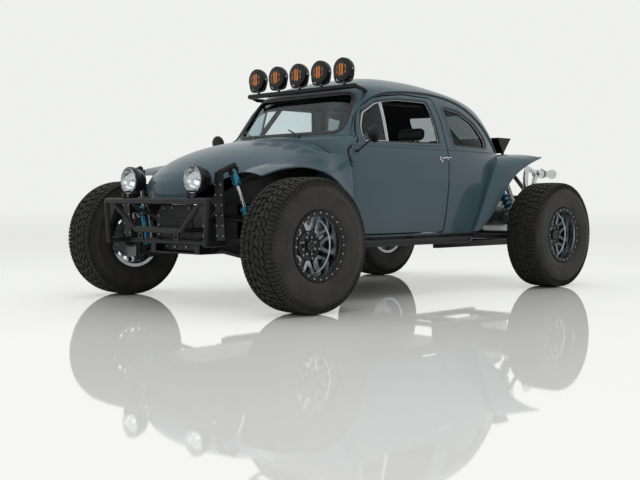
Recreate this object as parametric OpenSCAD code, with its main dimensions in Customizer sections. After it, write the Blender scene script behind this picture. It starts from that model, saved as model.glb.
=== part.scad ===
// Baja bug: an off-road conversion of a small rear-engined saloon, built as named pieces.
// X points forward, Y to the car's left, Z up, and the ground is Z = 0. All sizes are in millimetres.

/* [Wheels] */
// Distance between the front and the rear axle
wheelbase = 2700; // [2500:10:2900]
// Distance between the middles of the front tyres
front_track = 1860; // [1800:5:1960]
// Distance between the middles of the rear tyres
rear_track = 1800; // [1740:5:1900]
// Outside diameter of a tyre over its lugs
tyre_d = 813; // [760:1:840]
// Width of a tyre
tyre_w = 285; // [240:1:305]
// Radius of the bead ring on a wheel's outer face
bead_ring_r = 210; // [200:1:215]
// Width of a wheel's barrel
rim_w = 240; // [210:1:250]
// Number of spokes in a wheel
spokes = 8; // [5:1:10]
// Radius of the spindle that a wheel turns on
spindle_r = 22; // [18:0.5:26]

/* [Body] */
// Thickness of the cabin's walls
wall = 45; // [30:1:55]
// Whole thickness of a door below its window
door_t = 60; // [45:1:75]
// Thickness of a door's window frame
frame_t = 32; // [24:1:40]
// Gap around the doors
door_gap = 8; // [6:0.5:12]
// Thickness of the window glass
glass_t = 6; // [4:0.5:10]
// Gap between a pane and its opening
glass_gap = 0.4; // [0.2:0.1:0.8]
// Thickness of the hood
hood_t = 18; // [12:1:25]
// Thickness of the fenders
fender_t = 14; // [8:1:20]
// Height of the cabin's bottom edge
sill_z = 430; // [410:1:450]

/* [Front end] */
// Height of the front bumper's top tube
bumper_z = 671; // [640:1:700]
// Distance of the front bumper's tube ahead of the front axle
bumper_x = 413; // [405:1:440]
// Radius of the bumper's tubes
bumper_r = 19; // [15:0.5:25]
// Distance of the steering pivots from the middle
kingpin_y = 760; // [740:1:780]
// Length of the steering arms behind the pivots
steer_arm = 130; // [110:1:150]

/* [Lamps] */
// Radius of a headlight's ring
headlight_r = 92; // [80:1:105]
// Distance of a headlight from the middle
headlight_y = 340; // [300:1:380]
// Height of the headlights
headlight_z = 803; // [780:1:830]
// Number of roof lights
roof_lights_n = 5; // [3:2:5]
// Distance between two roof lights
roof_light_step = 221; // [190:1:230]
// Radius of a roof light
roof_light_r = 82; // [70:1:90]
// Height of the roof lights' middles
roof_light_z = 1568; // [1560:1:1600]

/* [Rear end] */
// Distance of the exhaust's tips behind the rear axle
tail_overhang = 910; // [860:5:950]
// Radius of the exhaust's pipes
pipe_r = 22; // [18:0.5:26]
// Number of cooling fins on a cylinder
fins = 7; // [5:1:10]

/* [Hidden] */
$fn = 48;

axle_z = tyre_d / 2;
front_overhang = bumper_x + bumper_r;
front_axle_x = (wheelbase + tail_overhang - front_overhang) / 2;
rear_axle_x = front_axle_x - wheelbase;
paint = [0.29, 0.35, 0.40];
black = [0.05, 0.05, 0.055];
steel = [0.70, 0.71, 0.72];
clear = [0.75, 0.82, 0.85, 0.35];

// Places along the car are given as a distance behind the front axle, turned into X here.
function fx(d) = front_axle_x - d;

// Cabin sections from the sill to the roof: each row is one level of the cabin's plan.
Z = 0;
D_FRONT = 1;
D_REAR = 2;
HALF_W = 3;
E_FRONT = 4;
E_REAR = 5;
d_mid = 1435;
CABIN = [
    [sill_z, 600, 2700, 652, 18, 4.0],
    [620, 600, 2740, 682, 18, 3.6],
    [820, 600, 2770, 697, 18, 3.3],
    [960, 602, 2780, 692, 14, 3.1],
    [1030, 604, 2770, 680, 10, 3.0],
    [1090, 614, 2745, 667, 7, 3.0],
    [1120, 688, 2728, 661, 6.5, 3.0],
    [1200, 742, 2680, 645, 6, 3.0],
    [1370, 850, 2500, 596, 5.5, 3.0],
    [1450, 905, 2300, 545, 5, 2.9],
    [1500, 990, 2080, 470, 4.2, 2.7],
    [1540, 1110, 1870, 368, 3.4, 2.5],
    [1565, 1245, 1665, 235, 2.8, 2.3],
    [1578, 1415, 1455, 20, 2.2, 2.2]];
ring_n = 48;
ring_step = 0.5;

function col(table, c) = [for (row = table) row[c]];
function slope(v, i) =
    i == 0 ? v[1] - v[0] :
    i == len(v) - 1 ? v[i] - v[i - 1] :
    (v[i] - v[i - 1]) * (v[i + 1] - v[i]) <= 0 ? 0 :
    2 * (v[i] - v[i - 1]) * (v[i + 1] - v[i]) / (v[i + 1] - v[i - 1]);
function hermite(p, q, m, n, u) =
    p * (2 * u * u * u - 3 * u * u + 1) + m * (u * u * u - 2 * u * u + u)
    + q * (3 * u * u - 2 * u * u * u) + n * (u * u * u - u * u);
function along(v, t) =
    let (i = min(floor(t), len(v) - 2), u = t - i)
    hermite(v[i], v[i + 1], slope(v, i), slope(v, i + 1), u);
function row_at(table, t) = [for (c = [0 : len(table[0]) - 1]) along(col(table, c), t)];
function clamp01(x) = max(0, min(1, x));
function plan_r(e, a) = pow(pow(abs(cos(a)), e) + pow(abs(sin(a)), e), -1 / e);

// One level of the cabin, moved inwards by t.
function cabin_ring(row, t) =
    let (z = row[Z] - t * pow(clamp01((row[Z] - 1330) / 248), 1.5),
        front = max(d_mid - row[D_FRONT] - t, 5),
        rear = max(row[D_REAR] - d_mid - t, 5),
        w = max(row[HALF_W] - t, 4))
    [for (j = [0 : ring_n - 1])
        let (a = 360 * j / ring_n, e = cos(a) >= 0 ? row[E_FRONT] : row[E_REAR], r = plan_r(e, a))
        [fx(d_mid) + (cos(a) >= 0 ? front : rear) * r * cos(a), w * r * sin(a), z]];
cabin_rows = [for (t = [0 : ring_step : len(CABIN) - 1.001]) row_at(CABIN, t)];
function cabin_levels(t) = concat([for (row = cabin_rows) cabin_ring(row, t)],
    [cabin_ring(CABIN[len(CABIN) - 1], t)]);

// A bowl turned upside down: outer levels, inner levels, both closed at the top.
module cabin_skin(t_out, t_in) {
    outer = cabin_levels(t_out);
    inner = cabin_levels(t_in);
    n = len(outer);
    m = ring_n;
    points = concat([for (r = outer) each r], [for (r = inner) each r]);
    side = [for (i = [0 : n - 2], j = [0 : m - 1])
        let (a = i * m + j, b = i * m + (j + 1) % m, c = a + m, d = b + m)
        each [[a, c, d], [a, d, b]]];
    inside = [for (f = side) [f[2] + n * m, f[1] + n * m, f[0] + n * m]];
    top = [[for (j = [m - 1 : -1 : 0]) (n - 1) * m + j]];
    ceiling = [[for (j = [0 : m - 1]) n * m + (n - 1) * m + j]];
    rim = [for (j = [0 : m - 1])
        let (a = j, b = (j + 1) % m, c = n * m + j, d = n * m + (j + 1) % m)
        each [[a, b, d], [a, d, c]]];
    polyhedron(points, concat(side, inside, top, ceiling, rim), 4);
}

// The cabin's whole form, grown by a small gap, which trims what is fastened to its outside.
module cabin_form(gap) {
    levels = cabin_levels(-gap);
    n = len(levels);
    m = ring_n;
    points = concat([for (r = levels) each r], [[fx(d_mid), 0, sill_z]]);
    side = [for (i = [0 : n - 2], j = [0 : m - 1])
        let (a = i * m + j, b = i * m + (j + 1) % m, c = a + m, d = b + m)
        each [[a, c, d], [a, d, b]]];
    top = [[for (j = [m - 1 : -1 : 0]) (n - 1) * m + j]];
    base = [for (j = [0 : m - 1]) [n * m, j, (j + 1) % m]];
    polyhedron(points, concat(side, top, base), 4);
}

// A closed sheet between two grids of points that have the same rows and columns.
module sheet(upper, lower) {
    n = len(upper);
    m = len(upper[0]);
    k = n * m;
    points = concat([for (r = upper) each r], [for (r = lower) each r]);
    faces = [for (i = [0 : n - 2], j = [0 : m - 2])
        let (a = i * m + j, b = a + 1, c = a + m, d = c + 1)
        each [[a, b, d], [a, d, c], [k + a, k + d, k + b], [k + a, k + c, k + d]]];
    ends = [for (j = [0 : m - 2])
        let (a = j, b = j + 1, c = (n - 1) * m + j, d = c + 1)
        each [[a, k + a, k + b], [a, k + b, b], [c, d, k + d], [c, k + d, k + c]]];
    sides = [for (i = [0 : n - 2])
        let (a = i * m, b = a + m, c = i * m + m - 1, d = c + m)
        each [[a, b, k + b], [a, k + b, k + a], [c, k + c, k + d], [c, k + d, d]]];
    polyhedron(points, concat(faces, ends, sides), 4);
}

// Rounds each corner of an outline by a length cut off its sides.
function rounded(pts, r) = [for (i = [0 : len(pts) - 1])
    let (p = pts[i], a = pts[(i + len(pts) - 1) % len(pts)], b = pts[(i + 1) % len(pts)],
        ra = min(r, norm(a - p) * 0.45), rb = min(r, norm(b - p) * 0.45),
        s = p + (a - p) / norm(a - p) * ra, e = p + (b - p) / norm(b - p) * rb)
    for (u = [0 : 0.25 : 1]) s * (1 - u) * (1 - u) + p * 2 * u * (1 - u) + e * u * u];
// Moves an outline outwards by g, or inwards where g is negative. The outline runs clockwise.
function grown(pts, g) = [for (i = [0 : len(pts) - 1])
    let (p = pts[i], a = pts[(i + len(pts) - 1) % len(pts)], b = pts[(i + 1) % len(pts)],
        u = (p - a) / norm(p - a), v = (b - p) / norm(b - p),
        nu = [-u[1], u[0]], nv = [-v[1], v[0]], k = 1 + nu * nv)
    p + g * (nu + nv) / max(k, 0.4)];
// Side outlines are lists of distance behind the front axle and height.
function side_xz(pts) = [for (p = pts) [fx(p[0]), p[1]]];
module side_prism(pts, y0, y1) {
    translate([0, y1, 0]) rotate([90, 0, 0]) linear_extrude(y1 - y0) polygon(pts);
}
module front_prism(pts, x0, x1) {
    translate([x0, 0, 0]) rotate([90, 0, 90]) linear_extrude(x1 - x0) polygon(pts);
}
module both_sides() {
    children();
    mirror([0, 1, 0]) children();
}
// A round bar between two points, and a run of bars with a weld bead at each corner.
module bar(p, q, r) {
    v = q - p;
    l = norm(v);
    b = acos(v[2] / l);
    c = atan2(v[1], v[0]);
    translate(p) rotate([0, b, c]) cylinder(h = l, r = r);
}
module cone(p, q, r1, r2) {
    v = q - p;
    l = norm(v);
    translate(p) rotate([0, acos(v[2] / l), atan2(v[1], v[0])]) cylinder(h = l, r1 = r1, r2 = r2);
}
module bars(pts, r) {
    for (i = [0 : len(pts) - 2]) bar(pts[i], pts[i + 1], r);
    if (len(pts) > 2) for (i = [1 : len(pts) - 2]) translate(pts[i]) sphere(r = r * 1.03);
}
module block(x0, x1, y0, y1, z0, z1) {
    translate([x0, y0, z0]) cube([x1 - x0, y1 - y0, z1 - z0]);
}
module round_x(x0, x1, y, z, r) {
    translate([x0, y, z]) rotate([0, 90, 0]) cylinder(h = x1 - x0, r = r);
}
module round_y(x, y0, y1, z, r) {
    translate([x, y1, z]) rotate([90, 0, 0]) cylinder(h = y1 - y0, r = r);
}

// Outlines of the openings, as seen from the side and from the front.
door_pts = side_xz([[665, 446], [665, 1012], [765, 1062], [822, 1205], [922, 1335], [1062, 1392],
    [1300, 1420], [1622, 1414], [1664, 1250], [1690, 1030], [1674, 446]]);
door_outline = rounded([for (i = [len(door_pts) - 1 : -1 : 0]) door_pts[i]], 30);
window_pts = side_xz([[814, 1070], [832, 1182], [882, 1284], [1000, 1355], [1210, 1386],
    [1550, 1388], [1594, 1250], [1616, 1084]]);
window_outline = rounded([for (i = [len(window_pts) - 1 : -1 : 0]) window_pts[i]], 24);
quarter_pts = side_xz([[1722, 1362], [1925, 1340], [2120, 1262], [2258, 1140], [2250, 1070],
    [1780, 1076]]);
quarter_outline = rounded([for (i = [len(quarter_pts) - 1 : -1 : 0]) quarter_pts[i]], 34);
windshield_outline = rounded([[-522, 1136], [-482, 1412], [482, 1412], [522, 1136]], 70);
rear_outline = rounded([[-400, 1168], [-330, 1392], [330, 1392], [400, 1168]], 80);
tail_cut = side_xz([[2062, 0], [2062, 440], [2400, 860], [2600, 1000], [3000, 1000], [3000, 0]]);

hinge_d = 655;
hinge_y = 706;
hinge_z = [560, 900];
module hinge_body(z0) {
    translate([fx(hinge_d), hinge_y, z0]) cylinder(h = 28, r = 9);
    block(fx(hinge_d), fx(hinge_d - 10), 640, hinge_y, z0, z0 + 28);
}
module hinge_door(z0) {
    translate([fx(hinge_d), hinge_y, z0]) cylinder(h = 28, r = 9);
    block(fx(hinge_d + 35), fx(hinge_d), hinge_y - 12, hinge_y, z0, z0 + 28);
    block(fx(hinge_d + 35), fx(hinge_d + 14), 645, hinge_y, z0, z0 + 28);
}

// The lower door ends at the hinge post, so that its inner corner swings clear.
door_in = 600;
belt_z = 1052;
module door_opening() {
    outline = grown(door_outline, door_gap);
    side_prism(outline, door_in - door_gap, 900);
    intersection() {
        side_prism(outline, 300, 900);
        block(-3000, 3000, 0, 900, belt_z, 2000);
    }
}
module body_shell() {
    color(paint) difference() {
        union() {
            cabin_skin(0, wall);
            both_sides() for (z = hinge_z) hinge_body(z);
            both_sides() hood_ear();
        }
        both_sides() door_opening();
        both_sides() side_prism(quarter_outline, 300, 900);
        front_prism(windshield_outline, fx(1150), fx(300));
        front_prism(rear_outline, fx(3000), fx(2200));
        side_prism(tail_cut, -900, 900);
        for (y = wiper_y) translate([fx(wiper_d), y, 1066]) cylinder(h = 80, r = 9.3);
    }
}

handle_d = [1606, 1662];
handle_y = 714;
handle_z = 976;
module door_solid() {
    difference() {
        union() {
            intersection() {
                cabin_skin(0, door_t);
                side_prism(door_outline, door_in, 900);
                block(-3000, 3000, 0, 900, 0, belt_z);
            }
            intersection() {
                cabin_skin(0, frame_t);
                side_prism(door_outline, 300, 900);
                block(-3000, 3000, 0, 900, belt_z - 12, 2000);
            }
            for (z = hinge_z) hinge_door(z + 28.6);
            for (d = handle_d) round_y(fx(d), 660, handle_y, handle_z, 10);
            bar([fx(handle_d[1] + 16), handle_y, handle_z], [fx(handle_d[0] - 16), handle_y, handle_z], 8);
        }
        side_prism(window_outline, 300, 900);
        round_y(fx(mirror_d), 600, 760, mirror_foot_z, 9.3);
    }
}
module door_left() {
    color(paint) door_solid();
}
module door_right() {
    color(paint) mirror([0, 1, 0]) door_solid();
}

// The hood's ribs from the nose to the cowl: middle, then edge.
D_C = 0;
Z_C = 1;
D_E = 2;
Y_E = 3;
Z_E = 4;
HOOD = [
    [-342, 662, -302, 205, 668],
    [-358, 765, -268, 295, 742],
    [-320, 830, -198, 368, 792],
    [-240, 890, -108, 428, 836],
    [-120, 955, 0, 472, 876],
    [45, 1015, 140, 502, 915],
    [230, 1060, 290, 524, 945],
    [420, 1092, 440, 542, 968],
    [594, 1114, 594, 556, 988]];
function hood_grid(t) = [for (s = [0 : 0.5 : len(HOOD) - 1])
    let (r = row_at(HOOD, min(s, len(HOOD) - 1.001)),
        p = row_at(HOOD, max(0, min(s, len(HOOD) - 1.001) - 0.1)),
        q = row_at(HOOD, min(len(HOOD) - 1.001, s + 0.1)),
        a = atan2(q[Z_C] - p[Z_C], q[D_C] - p[D_C]))
    [for (u = [-1 : 0.125 : 1])
        [fx(r[D_C] + (r[D_E] - r[D_C]) * pow(abs(u), 2) + t * sin(a)),
            (r[Y_E] - 0.5 * t) * u,
            r[Z_C] - (r[Z_C] - r[Z_E]) * pow(abs(u), 2.4) - t * cos(a)]]];
hood_hinge_d = 597;
hood_hinge_z = 1097;
hood_hinge_y = [150, 208];
module hood_ear() {
    round_y(fx(hood_hinge_d), hood_hinge_y[1] + 0.5, hood_hinge_y[1] + 28, hood_hinge_z, 7);
    block(fx(632), fx(hood_hinge_d), hood_hinge_y[1] + 0.5, hood_hinge_y[1] + 28,
        hood_hinge_z - 6, hood_hinge_z + 6);
}
module hood() {
    color(paint) {
        difference() {
            sheet(hood_grid(0), hood_grid(hood_t));
            both_sides() block(fx(610), fx(583), hood_hinge_y[1] - 2, hood_hinge_y[1] + 34, 1000, 1200);
        }
        both_sides() round_y(fx(hood_hinge_d), hood_hinge_y[0], hood_hinge_y[1], hood_hinge_z, 7);
    }
}

module front_body() {
    profile = side_xz([[598, 445], [598, 930], [300, 880], [0, 815], [-150, 745], [-250, 690],
        [-250, 650], [440, 650], [500, 445]]);
    inside = side_xz([[578, 470], [578, 1000], [300, 1000], [-400, 1000], [-225, 705], [-225, 670],
        [455, 670], [516, 470]]);
    color(paint) difference() {
        side_prism(profile, -tub_y, tub_y);
        side_prism(inside, -tub_y + 20, tub_y - 20);
    }
}

// Fenders: an edge along the body, then the free edge, then how far the panel swells.
FRONT_FENDER = [
    [-95, 466, 850, -150, 716, 822, 12, 1],
    [-40, 486, 878, -84, 756, 850, 20, 1],
    [20, 500, 895, -10, 762, 868, 26, 1],
    [150, 520, 925, 140, 764, 882, 26, 1],
    [300, 538, 950, 300, 764, 864, 26, 1],
    [450, 570, 975, 440, 762, 808, 26, 1],
    [570, 630, 985, 540, 760, 722, 24, 0.5],
    [650, 692, 930, 590, 758, 620, 10, 0],
    [654, 700, 740, 612, 750, 530, 4, 0],
    [655, 690, 600, 625, 740, 490, 3, 0],
    [655, 674, 531, 632, 730, 448, 2, 0]];
REAR_FENDER = [
    [2020, 676, 440, 2050, 690, 446, 2],
    [2066, 690, 550, 2110, 704, 490, 6],
    [2126, 698, 680, 2190, 732, 590, 12],
    [2196, 700, 820, 2292, 752, 732, 18],
    [2286, 690, 950, 2440, 760, 872, 22],
    [2420, 640, 1018, 2640, 762, 968, 20],
    [2560, 545, 1040, 2796, 760, 1018, 12]];
tub_y = 425;
seat_gap = 0.3;
fender_gap = 0.5;
function fender_point(r, u, t, axis_d, axis_z) =
    let (d = r[0] + (r[3] - r[0]) * u, y = r[1] + (r[4] - r[1]) * u, z = r[2] + (r[5] - r[2]) * u,
        out = [d - axis_d, z - axis_z] / norm([d - axis_d, z - axis_z]), lift = r[6] * sin(180 * u) - t)
    [fx(d + out[0] * lift * 0.7), y + lift * 0.7, z + out[1] * lift * 0.7];
fender_rows = 2;
function fender_grid(table, t, axis_d, axis_z, flange) = [
    for (k = [0 : fender_rows * (len(table) - 1)])
    let (r = row_at(table, min(k / fender_rows, len(table) - 1.001)))
    concat(
        flange ? let (edge = fender_point(r, 0, t, axis_d, axis_z) + [0, 1.2 * t * r[7], 0]) [
            [fx(r[0]), tub_y + seat_gap, r[2] - 96 - t] * r[7] + (edge - [0, 110, 0]) * (1 - r[7]),
            [fx(r[0]), r[1] - 4 + 0.95 * t, r[2] - 42 - 0.3 * t] * r[7] + (edge - [0, 50, 0]) * (1 - r[7]),
            edge] :
        let (edge = fender_point(r, 0, t, axis_d, axis_z)) [edge - [0, 90, 0], edge],
        [for (u = [0.125 : 0.125 : 1]) fender_point(r, u, t, axis_d, axis_z)])];
module front_fender() {
    difference() {
        sheet(fender_grid(FRONT_FENDER, 0, 150, 340, true),
            fender_grid(FRONT_FENDER, fender_t, 150, 340, true));
        for (z = hinge_z) block(fx(hinge_d + 30), fx(hinge_d - 16), 560, 780, z - 6, z + 63);
    }
}
module rear_fender() {
    sheet(fender_grid(REAR_FENDER, 0, 2700, 300, false),
        fender_grid(REAR_FENDER, fender_t, 2700, 300, false));
}
module front_fender_left() {
    color(paint) difference() {
        front_fender();
        cabin_form(fender_gap);
    }
}
module front_fender_right() {
    color(paint) difference() {
        mirror([0, 1, 0]) front_fender();
        cabin_form(fender_gap);
    }
}
module rear_fender_left() {
    color(paint) difference() {
        rear_fender();
        cabin_form(fender_gap);
    }
}
module rear_fender_right() {
    color(paint) difference() {
        mirror([0, 1, 0]) rear_fender();
        cabin_form(fender_gap);
    }
}

pan_end = 2060;
module floor_pan() {
    color(black) {
        block(fx(pan_end), fx(600), -640, 640, sill_z - 32, sill_z);
        block(fx(pan_end), fx(660), -85, 85, sill_z, 540);
    }
}
module side_bars() {
    color(black) both_sides() {
        bar([fx(1915), 700, 386], [fx(745), 700, 386], 25);
        bar([fx(764), 699, 386], [fx(690), 664, 386], 23);
        bar([fx(1896), 699, 386], [fx(1970), 664, 386], 23);
        for (d = [900, 1320, 1740]) round_y(fx(d), 640, 690, 404, 14);
    }
}

module pane(outline, y0, y1) {
    intersection() {
        cabin_skin(14, 14 + glass_t);
        side_prism(outline, y0, y1);
    }
}
module windshield() {
    color(clear) intersection() {
        cabin_skin(14, 14 + glass_t);
        front_prism(grown(windshield_outline, -glass_gap), fx(1150), fx(300));
    }
}
module rear_window() {
    color(clear) intersection() {
        cabin_skin(14, 14 + glass_t);
        front_prism(grown(rear_outline, -glass_gap), fx(3000), fx(2200));
    }
}
module quarter_windows() {
    color(clear) both_sides() pane(grown(quarter_outline, -glass_gap), 300, 900);
}
vent_d = 1056;
module vent() {
    color(clear) intersection() {
        pane(grown(window_outline, -glass_gap), 300, 900);
        block(fx(vent_d), fx(700), 300, 900, 1000, 1500);
    }
}
module vent_window_left() {
    vent();
}
module vent_window_right() {
    mirror([0, 1, 0]) vent();
}

tow_y = 190;
tow_r = 11;
module front_bumper() {
    bx = front_axle_x + bumper_x;
    color(black) difference() {
        union() {
            bar([bx, -538, bumper_z], [bx, 538, bumper_z], bumper_r);
            bar([bx - 26, -245, 490], [bx - 26, 245, 490], bumper_r);
            both_sides() {
                translate([bx, 538, bumper_z]) sphere(r = bumper_r * 1.03);
                bars([[bx, 538, bumper_z], [bx, 512, 411], [fx(-262), tower_y, 411]], bumper_r);
                bar([bx, 470, bumper_z - 6], [bx - 26, 245, 490], 16);
                translate([bx - 26, 245, 490]) sphere(r = bumper_r * 1.03);
                round_x(fx(-198), bx - 20, 245, 490, 15);
                translate([bx, headlight_y, bumper_z]) cylinder(h = 31, r = 10);
                block(bx - 33, bx - 21, tow_y - 26, tow_y + 26, 424, 490);
                front_prism([[536, 666], [515, 500], [430, 652]], bx - 3, bx + 3);
            }
        }
        both_sides() tower_tube(seat_gap);
        both_sides() round_x(bx - 60, bx, tow_y, 448, tow_r);
    }
}

rail_y = 230;
tower_y = 490;
arm_x = [150, -150];
upper_x = [110, -110];
shock_top = [fx(-180), tower_y, 842];
shock_foot = [fx(-58), 586, 354];
rack_z = axle_z + 56;
module tower_tube(gap) {
    bars([[fx(-255), 380, 411], [fx(-258), tower_y, 411], [fx(-285), tower_y, 846],
        [fx(-180), tower_y, 888]], 19 + gap);
    translate([fx(-180), tower_y, 888]) sphere(r = 19.6 + gap);
}
module front_frame() {
    color(black) {
        both_sides() {
            block(fx(600), fx(-262), rail_y - 25, rail_y + 25, 345, 430);
            block(fx(200), fx(-200), 250, 290, 540, 580);
            for (d = [180, -180]) block(fx(d + 18), fx(d - 18), 235, 275, 420, 560);
            for (x = arm_x, s = [-1, 1])
                block(front_axle_x + x + s * 34 - 6, front_axle_x + x + s * 34 + 6, 245, 318, 348, 384);
            for (x = arm_x) round_x(front_axle_x + x - 40, front_axle_x + x + 40, 300, 366, 10);
            for (x = upper_x, s = [-1, 1])
                block(front_axle_x + x + s * 30 - 6, front_axle_x + x + s * 30 + 6, 280, 346, 544, 578);
            for (x = upper_x) round_x(front_axle_x + x - 36, front_axle_x + x + 36, 328, 560, 10);
            tower_tube(0);
            bar([fx(-271), tower_y - 4, 640], [fx(-186), 280, 566], 14);
            for (s = [-1, 1]) block(shock_top[0] + s * 24 - 5, shock_top[0] + s * 24 + 5, tower_y - 14,
                tower_y + 14, shock_top[2] - 16, 880);
            round_x(shock_top[0] - 28, shock_top[0] + 28, tower_y, shock_top[2], 9);
            block(fx(steer_arm + 40), fx(steer_arm - 16), 110, 140, 400, rack_z - 18);
        }
        bar([fx(-255), -380, 411], [fx(-255), 380, 411], 18);
        block(fx(-150), fx(-200), -235, 235, 360, 420);
        block(fx(220), fx(150), -235, 235, 360, 420);
        block(fx(600), fx(-262), -260, 260, 335, 345);
        difference() {
            round_y(fx(steer_arm), -170, 170, rack_z, 24);
            round_y(fx(steer_arm), -200, 200, rack_z, 12.05);
        }
    }
}

module eye_x(x, y, z, r, w, bore) {
    difference() {
        round_x(x - w / 2, x + w / 2, y, z, r);
        round_x(x - w, x + w, y, z, bore);
    }
}
module front_arms() {
    color(black) both_sides() {
        difference() {
            union() {
                for (x = arm_x) round_x(front_axle_x + x - 26, front_axle_x + x + 26, 300, 366, 22);
                bar([fx(-150), 312, 363], [fx(-5), kingpin_y - 4, 272], 16);
                bar([fx(150), 312, 363], [fx(5), kingpin_y - 4, 272], 15);
                translate([front_axle_x, kingpin_y, 252]) cylinder(h = 47.4, r = 28);
                for (s = [-1, 1]) block(shock_foot[0] + s * 23 - 4, shock_foot[0] + s * 23 + 4, 568, 604, 304, 370);
                round_x(shock_foot[0] - 27, shock_foot[0] + 27, 586, shock_foot[2], 8);
            }
            for (x = arm_x) round_x(front_axle_x + x - 50, front_axle_x + x + 50, 300, 366, 10.3);
        }
        difference() {
            union() {
                for (x = upper_x) round_x(front_axle_x + x - 22, front_axle_x + x + 22, 328, 560, 20);
                bar([fx(-110), 340, 559], [fx(-5), kingpin_y - 4, 537], 14);
                bar([fx(110), 340, 559], [fx(5), kingpin_y - 4, 537], 13);
                translate([front_axle_x, kingpin_y, 520.6]) cylinder(h = 34, r = 26);
            }
            for (x = upper_x) round_x(front_axle_x + x - 50, front_axle_x + x + 50, 328, 560, 10.3);
        }
    }
}

module knuckle() {
    color(black) {
        translate([front_axle_x, kingpin_y, 300]) cylinder(h = 220, r = 26);
        round_y(front_axle_x, kingpin_y, kingpin_y + 42, axle_z, 48);
        round_y(front_axle_x, kingpin_y, front_track / 2 + 18, axle_z, spindle_r);
        block(front_axle_x - steer_arm, front_axle_x, kingpin_y - 14, kingpin_y + 14, axle_z + 14, axle_z + 34);
        translate([front_axle_x - steer_arm, kingpin_y, axle_z + 14]) cylinder(h = 20, r = 18);
    }
}
module knuckle_left() {
    knuckle();
}
module knuckle_right() {
    mirror([0, 1, 0]) knuckle();
}
module tie_rods() {
    x = front_axle_x - steer_arm;
    color(black) {
        round_y(x, -kingpin_y, kingpin_y, rack_z, 12);
        both_sides() translate([x, kingpin_y, rack_z - 14]) cylinder(h = 28, r = 17);
    }
}

// A damper between two eyes: body, shaft, spring seats and a coil that is drawn as rings.
coil_wire = 8;
module damper(p, q, body_r, coil_r, coil_n) {
    v = (q - p) / norm(q - p);
    l = norm(q - p);
    bar(p, q, 10);
    bar(p + v * l * (coil_n > 0 ? 0.14 : 0.42), q - v * 50, body_r);
    for (i = [0 : 1 : coil_n - 1])
        translate(p + v * (l * 0.16 + l * 0.66 * i / (coil_n - 1))) rotate([0, acos(v[2]), atan2(v[1], v[0])])
            rotate_extrude() translate([coil_r, 0]) circle(r = coil_wire);
}
module front_shocks() {
    p = shock_foot;
    q = shock_top;
    color(steel) both_sides() {
        difference() {
            union() {
                damper(p, q, 28, 28, 0);
                round_x(p[0] - 17, p[0] + 17, p[1], p[2], 19);
                round_x(q[0] - 17, q[0] + 17, q[1], q[2], 18);
            }
            round_x(p[0] - 60, p[0] + 60, p[1], p[2], 8.3);
            round_x(q[0] - 60, q[0] + 60, q[1], q[2], 9.3);
        }
    }
}

// A wheel's parts are drawn around Z with the outer face up, then turned to the car's side.
module on_wheel(x, y) {
    translate([x, y, axle_z]) rotate([y > 0 ? -90 : 90, 0, 0]) children();
}
bead_r = 190;
tyre_r = tyre_d / 2;
TYRE_R = 0;
TYRE_V = 1;
tyre_half = [[bead_r, 0.39], [bead_r + 22, 0.392], [bead_r + 46, 0.478], [bead_r + 100, 0.5],
    [tyre_r - 66, 0.49], [tyre_r - 40, 0.485], [tyre_r - 26, 0.462], [tyre_r - 13, 0.40]];
// Rows of lugs: middle and width across the tread, how far below the tread they end, and their turn.
LUG_V = 0;
LUG_W = 1;
LUG_DROP = 2;
LUG_TURN = 3;
lug_n = 40;
lug_share = 0.31;
LUGS = [[42, 72, 0, lug_share], [-42, 72, 0, lug_share + 0.5], [107, 46, 4, lug_share + 0.25],
    [-107, 46, 4, lug_share + 0.75]];
module lug_row(row) {
    pitch = 360 / lug_n;
    top = tyre_r - row[LUG_DROP];
    root = tyre_r - 24;
    corners = [[-lug_share, root], [-lug_share, top], [lug_share, top], [lug_share, root]];
    translate([0, 0, row[LUG_V] - row[LUG_W] / 2]) difference() {
        linear_extrude(row[LUG_W]) polygon([for (i = [0 : lug_n - 1], c = corners)
            let (a = (i + row[LUG_TURN] + c[0]) * pitch) c[1] * [cos(a), sin(a)]]);
        translate([0, 0, -1]) cylinder(h = row[LUG_W] + 2, r = tyre_r - 40);
    }
}
module tyre_body() {
    n = len(tyre_half);
    for (row = LUGS) lug_row(row);
    rotate_extrude() polygon(concat([for (p = tyre_half) [p[TYRE_R], p[TYRE_V] * tyre_w]],
        [for (i = [n - 1 : -1 : 0]) [tyre_half[i][TYRE_R], -tyre_half[i][TYRE_V] * tyre_w]]));
}
module tyre(x, y) {
    color(black) on_wheel(x, y) tyre_body();
}
module tyre_fl() {
    tyre(front_axle_x, front_track / 2);
}
module tyre_fr() {
    tyre(front_axle_x, -front_track / 2);
}
module tyre_rl() {
    tyre(rear_axle_x, rear_track / 2);
}
module tyre_rr() {
    tyre(rear_axle_x, -rear_track / 2);
}

module rim_body() {
    h = rim_w / 2;
    difference() {
        union() {
            rotate_extrude() polygon([[bead_r - 14, -h], [bead_r + 16, -h], [bead_r + 16, -h + 6],
                [bead_r - 0.3, -h + 6], [bead_r - 0.3, h - 8], [bead_ring_r, h - 8], [bead_ring_r, h + 8],
                [bead_r - 12, h + 8], [bead_r - 20, h - 14], [bead_r - 20, -h + 20]]);
            translate([0, 0, 4]) cylinder(h = 26, r = bead_r - 15);
            translate([0, 0, -66]) cylinder(h = 112, r = 62);
            translate([0, 0, -66]) cylinder(h = 12, r = 140);
        }
        for (i = [0 : spokes - 1]) rotate([0, 0, 360 * (i + 0.5) / spokes])
            linear_extrude(80, center = true) polygon([[78, -10], [78, 10], [160, 40], [160, -40]]);
        for (i = [0 : spokes - 1]) rotate([0, 0, 360 * i / spokes])
            linear_extrude(80, center = true) polygon([[112, -3], [112, 3], [161, 12], [161, -12]]);
        translate([0, 0, -100]) cylinder(h = 119, r = spindle_r + 0.05);
    }
}
module rim(x, y) {
    color(steel) on_wheel(x, y) rim_body();
}
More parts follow.
